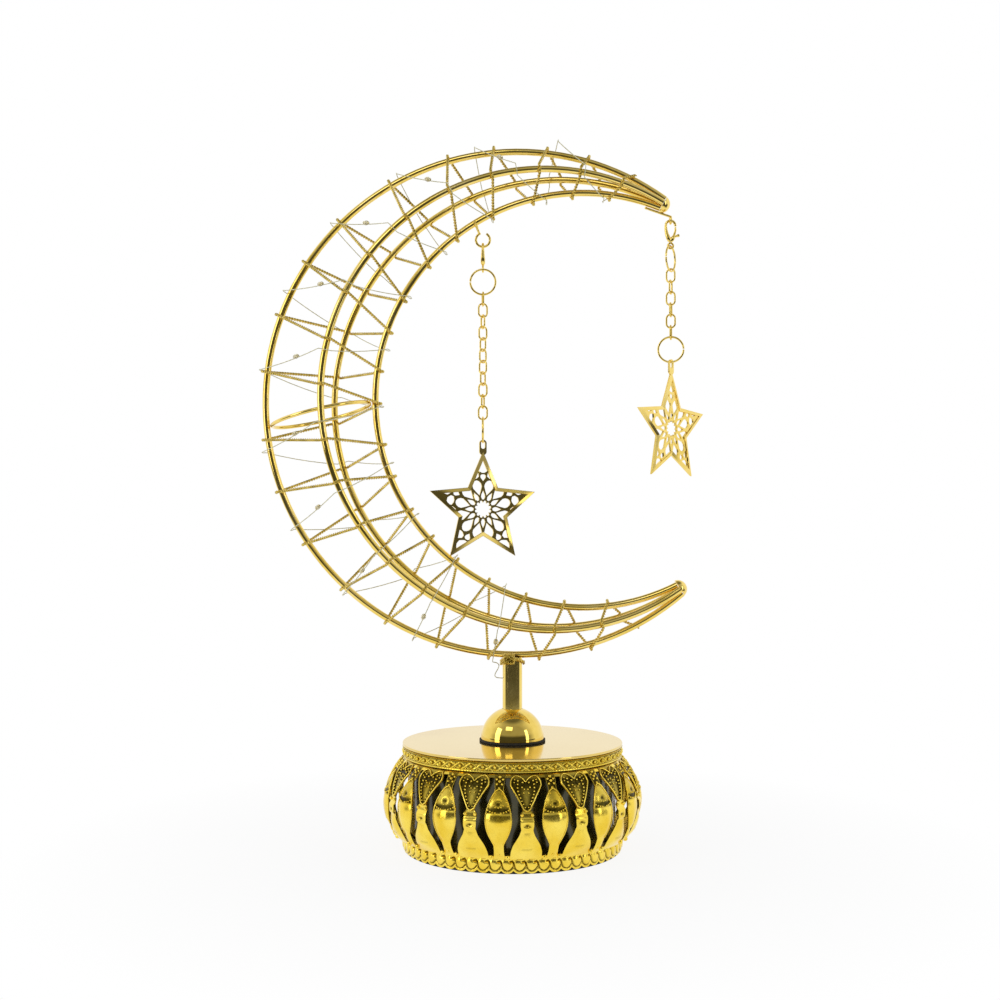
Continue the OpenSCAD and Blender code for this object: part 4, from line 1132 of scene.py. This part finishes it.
def sloped_border(name, x, z, yaw):
    """A star's border on both faces, sloping from its inner edge down to its outline."""
    points, faces = [], []
    c, s = cos(radians(yaw)), sin(radians(yaw))
    for face in (-1, 1):
        first = len(points)
        for inset, height in BORDER_STEPS:
            w = face * height
            for u, v in star_line(inset):
                points.append(Vector((x + u * c - w * s, u * s + w * c, z + v)) * MM)
        for ring in range(len(BORDER_STEPS)):
            a, b = first + ring * CORNERS, first + (ring + 1) % len(BORDER_STEPS) * CORNERS
            for k in range(CORNERS):
                quad = (a + k, a + (k + 1) % CORNERS, b + (k + 1) % CORNERS, b + k)
                faces.append(quad if face == 1 else quad[::-1])
    return mesh_piece(name, points, faces)


for side, (x, z, yaw) in star_places.items():
    star = copied(f"{side}_star", f"{side}_star_sheet", 0.16)
    border = sloped_border(f"{side}_border", x, z, yaw)
    only(star)
    border.select_set(True)
    bpy.ops.object.join()
    hand_over(star, "star_gold", f"{side}_star", f"{side}_star", angle=15)

# %% Tip lumps, stem and plate
LUMP_SWELL = 1.14
welds = copied("tip_welds", "weld_lumps", 0.7, segments=3, angle=25)
for sign in (-1, 1):
    lump = [v for v in welds.data.vertices if (v.co.z / MM - CHORD.z) * sign > 0]
    tip = max(lump, key=lambda v: (v.co / MM - CHORD).length).co.copy()
    for v in lump:
        v.co = tip + (v.co - tip) * LUMP_SWELL
hand_over(welds, "wire_gold", "root", "tip_welds", angle=60)
hand_over(copied("stem_tube", "stem_sheet", 0.15), "wire_gold", "root", "stem_tube", angle=18)
plate = copied("top_plate", "plate_sheet", 0.3, segments=3)
hand_over(plate, "plate_gold", "root", "top_plate", angle=12)

# %% [markdown]
# ## The two clasps
# A lobster clasp is cast: its body swells at the bottom, where the lever turns, and thins
# towards the hook at the top. A curve whose points have their own size gives that shape.

# %% Clasps
# Rows of (across, height, radius), in mm, on the right clasp.
HOOK_R, HOOK_Z, EYE_R, EYE_MID_Z = 2.4, 309.45, 1.35, 299.2
hook_turns = [pi * (1 - k / 10) for k in range(11)] + [-0.17]
eye_turns = [pi * k / 8 for k in range(17)]
hook = [(HOOK_R * cos(a), HOOK_Z + HOOK_R * sin(a), 0.65) for a in hook_turns]
eye = [(EYE_R * sin(a), EYE_MID_Z + EYE_R * cos(a), 0.5) for a in eye_turns]
long_side = [
    (0.0, 301.2, 0.6), (-0.5, 302.0, 1.1), (-1.2, 303.4, 1.15), (-1.9, 305.3, 0.95),
    (-2.3, 307.3, 0.8),
]
short_side = [(0.0, 301.2, 0.6), (0.6, 302.1, 1.05), (1.2, 303.2, 1.1), (1.6, 304.1, 0.75)]
lever = [
    (1.1, 302.75, 0.6), (1.8, 304.6, 0.6), (2.35, 306.4, 0.55), (2.5, 307.6, 0.5),
    (2.4, 308.6, 0.4),
]
nub = [
    (1.7, 303.6, 0.5), (2.6, 304.0, 0.5), (3.6, 304.3, 0.75), (4.1, 304.4, 0.8),
    (4.5, 304.45, 0.5),
]
clasp_places = {"right": (79.3, 0, 0), "left": (-14.7, 11.75, 90)}


def cast(name, place, shapes):
    """The shapes as one mesh, at a place of (x, drop from the right clasp, yaw)."""
    x, drop, yaw = place
    c, s = cos(radians(yaw)), sin(radians(yaw))
    routes = [[Vector((x + u * c, u * s, z - drop)) for u, z, r in shape] for shape in shapes]
    return tube(name, routes, 1.0, 3, sizes=[[r for u, z, r in shape] for shape in shapes])


for side, place in clasp_places.items():
    body = cast(f"{side}_clasp_cast", place, [long_side + hook, short_side, eye])
    hand_over(body, "wire_gold", f"{side}_clasp", f"{side}_clasp", angle=60)
    trigger = cast(f"{side}_trigger", place, [lever, nub])
    hand_over(trigger, "wire_gold", f"{side}_clasp_lever", f"{side}_clasp_lever", angle=60)

# %% [markdown]
# ## Floor and light
# The photograph is a cut-out on white with hardly a shadow. A pale floor glows for the camera
# and keeps a soft shadow near the base. Gold looks like gold only when it mirrors something
# dark, so the room in front is dim, and so is the floor there for mirrored rays. The room
# behind is white, and soft lamps stand at the sides and above.


# %% Floor
def show(tree, share, first, second):
    """Sends a mix of two shaders to the output of a tree."""
    mix = tree.nodes.new("ShaderNodeMixShader")
    for place, socket in zip(mix.inputs, (share, first, second)):
        tree.links.new(socket, place)
    out = next(n for n in tree.nodes if n.type.startswith("OUTPUT"))
    tree.links.new(mix.outputs[0], out.inputs["Surface"])


bpy.ops.mesh.primitive_plane_add(size=9)
floor = bpy.context.object
floor.name = "floor"
floor_finish = Finish("floor white", Roughness=0.9)
tree = floor_finish.tree
rays = tree.nodes.new("ShaderNodeLightPath")
camera_ray, glossy_ray, clear_ray = (
    Flow(tree, rays.outputs[f"Is {kind} Ray"]) for kind in ("Camera", "Glossy", "Transmission")
)
floor_x, floor_y = floor_finish.axis("X"), floor_finish.axis("Y")
far = floor_x * floor_x + floor_y * floor_y
in_front = 1 - floor_y.step(-0.1, 0.1)
# The glow is a little weaker near the base, so the shadow shows there.
seen = (camera_ray + glossy_ray + clear_ray).held() * (far.step(0.006, 0.06) * 0.11 + 0.89)
lit = 1 - far.step(0.12, 0.3) * in_front * glossy_ray * 0.93
floor_finish.set(Base_Color=floor_finish.colours(lit, (0.0, (0, 0, 0)), (1.0, (0.9, 0.9, 0.9))))
glow = floor_finish.colours(lit, (0.0, (0, 0, 0)), (1.0, (1, 1, 1)))
shine = floor_finish.node("ShaderNodeEmission", Color=glow)
show(tree, seen.socket, floor_finish.shader.outputs[0], shine.socket)
floor.data.materials.append(floor_finish.material)

# %% World
world = bpy.data.worlds.new("room")
bpy.context.scene.world = world
world.use_nodes = True
tree = world.node_tree
background = next(n for n in tree.nodes if n.type == "BACKGROUND")
room = tree.nodes.new("ShaderNodeTexCoord")
split = tree.nodes.new("ShaderNodeSeparateXYZ")
tree.links.new(room.outputs["Generated"], split.inputs[0])
behind, above = Flow(tree, split.outputs["Y"]), Flow(tree, split.outputs["Z"])
back = behind.step(-0.6, 0.0)
tent = above.step(0.18, 0.32) * (1 - above.step(0.84, 0.95))
front_light = tent * 0.36 + 0.08
back_light = 1 - above.step(0.75, 0.93) * 0.8
white = tree.nodes.new("ShaderNodeBackground")
for node in (background, white):
    node.inputs["Color"].default_value = (1, 1, 1, 1)
put(tree, background.inputs["Strength"], front_light * (1 - back) + back * back_light)
rays = tree.nodes.new("ShaderNodeLightPath")
show(tree, rays.outputs["Is Camera Ray"], background.outputs[0], white.outputs[0])
print("floor and room ready")


# %% Lamps
def lamp(name, place, target_z, width, height, watts):
    bpy.ops.object.light_add(type="AREA", location=place)
    light = bpy.context.object
    light.name = name
    light.data.shape = "RECTANGLE"
    light.data.size, light.data.size_y = width, height
    light.data.energy = watts
    aim = Vector((0, 0, target_z)) - Vector(place)
    light.rotation_euler = aim.to_track_quat("-Z", "Y").to_euler()


lamp("left_lamp", (-1.2, -0.75, 0.5), 0.2, width=0.5, height=1.1, watts=4.2)
lamp("right_lamp", (1.2, -0.8, 0.45), 0.2, width=0.3, height=0.9, watts=1.8)
lamp("top_lamp", (-0.25, -0.9, 0.9), 0.15, width=0.5, height=0.3, watts=0.9)
print("lamps set")
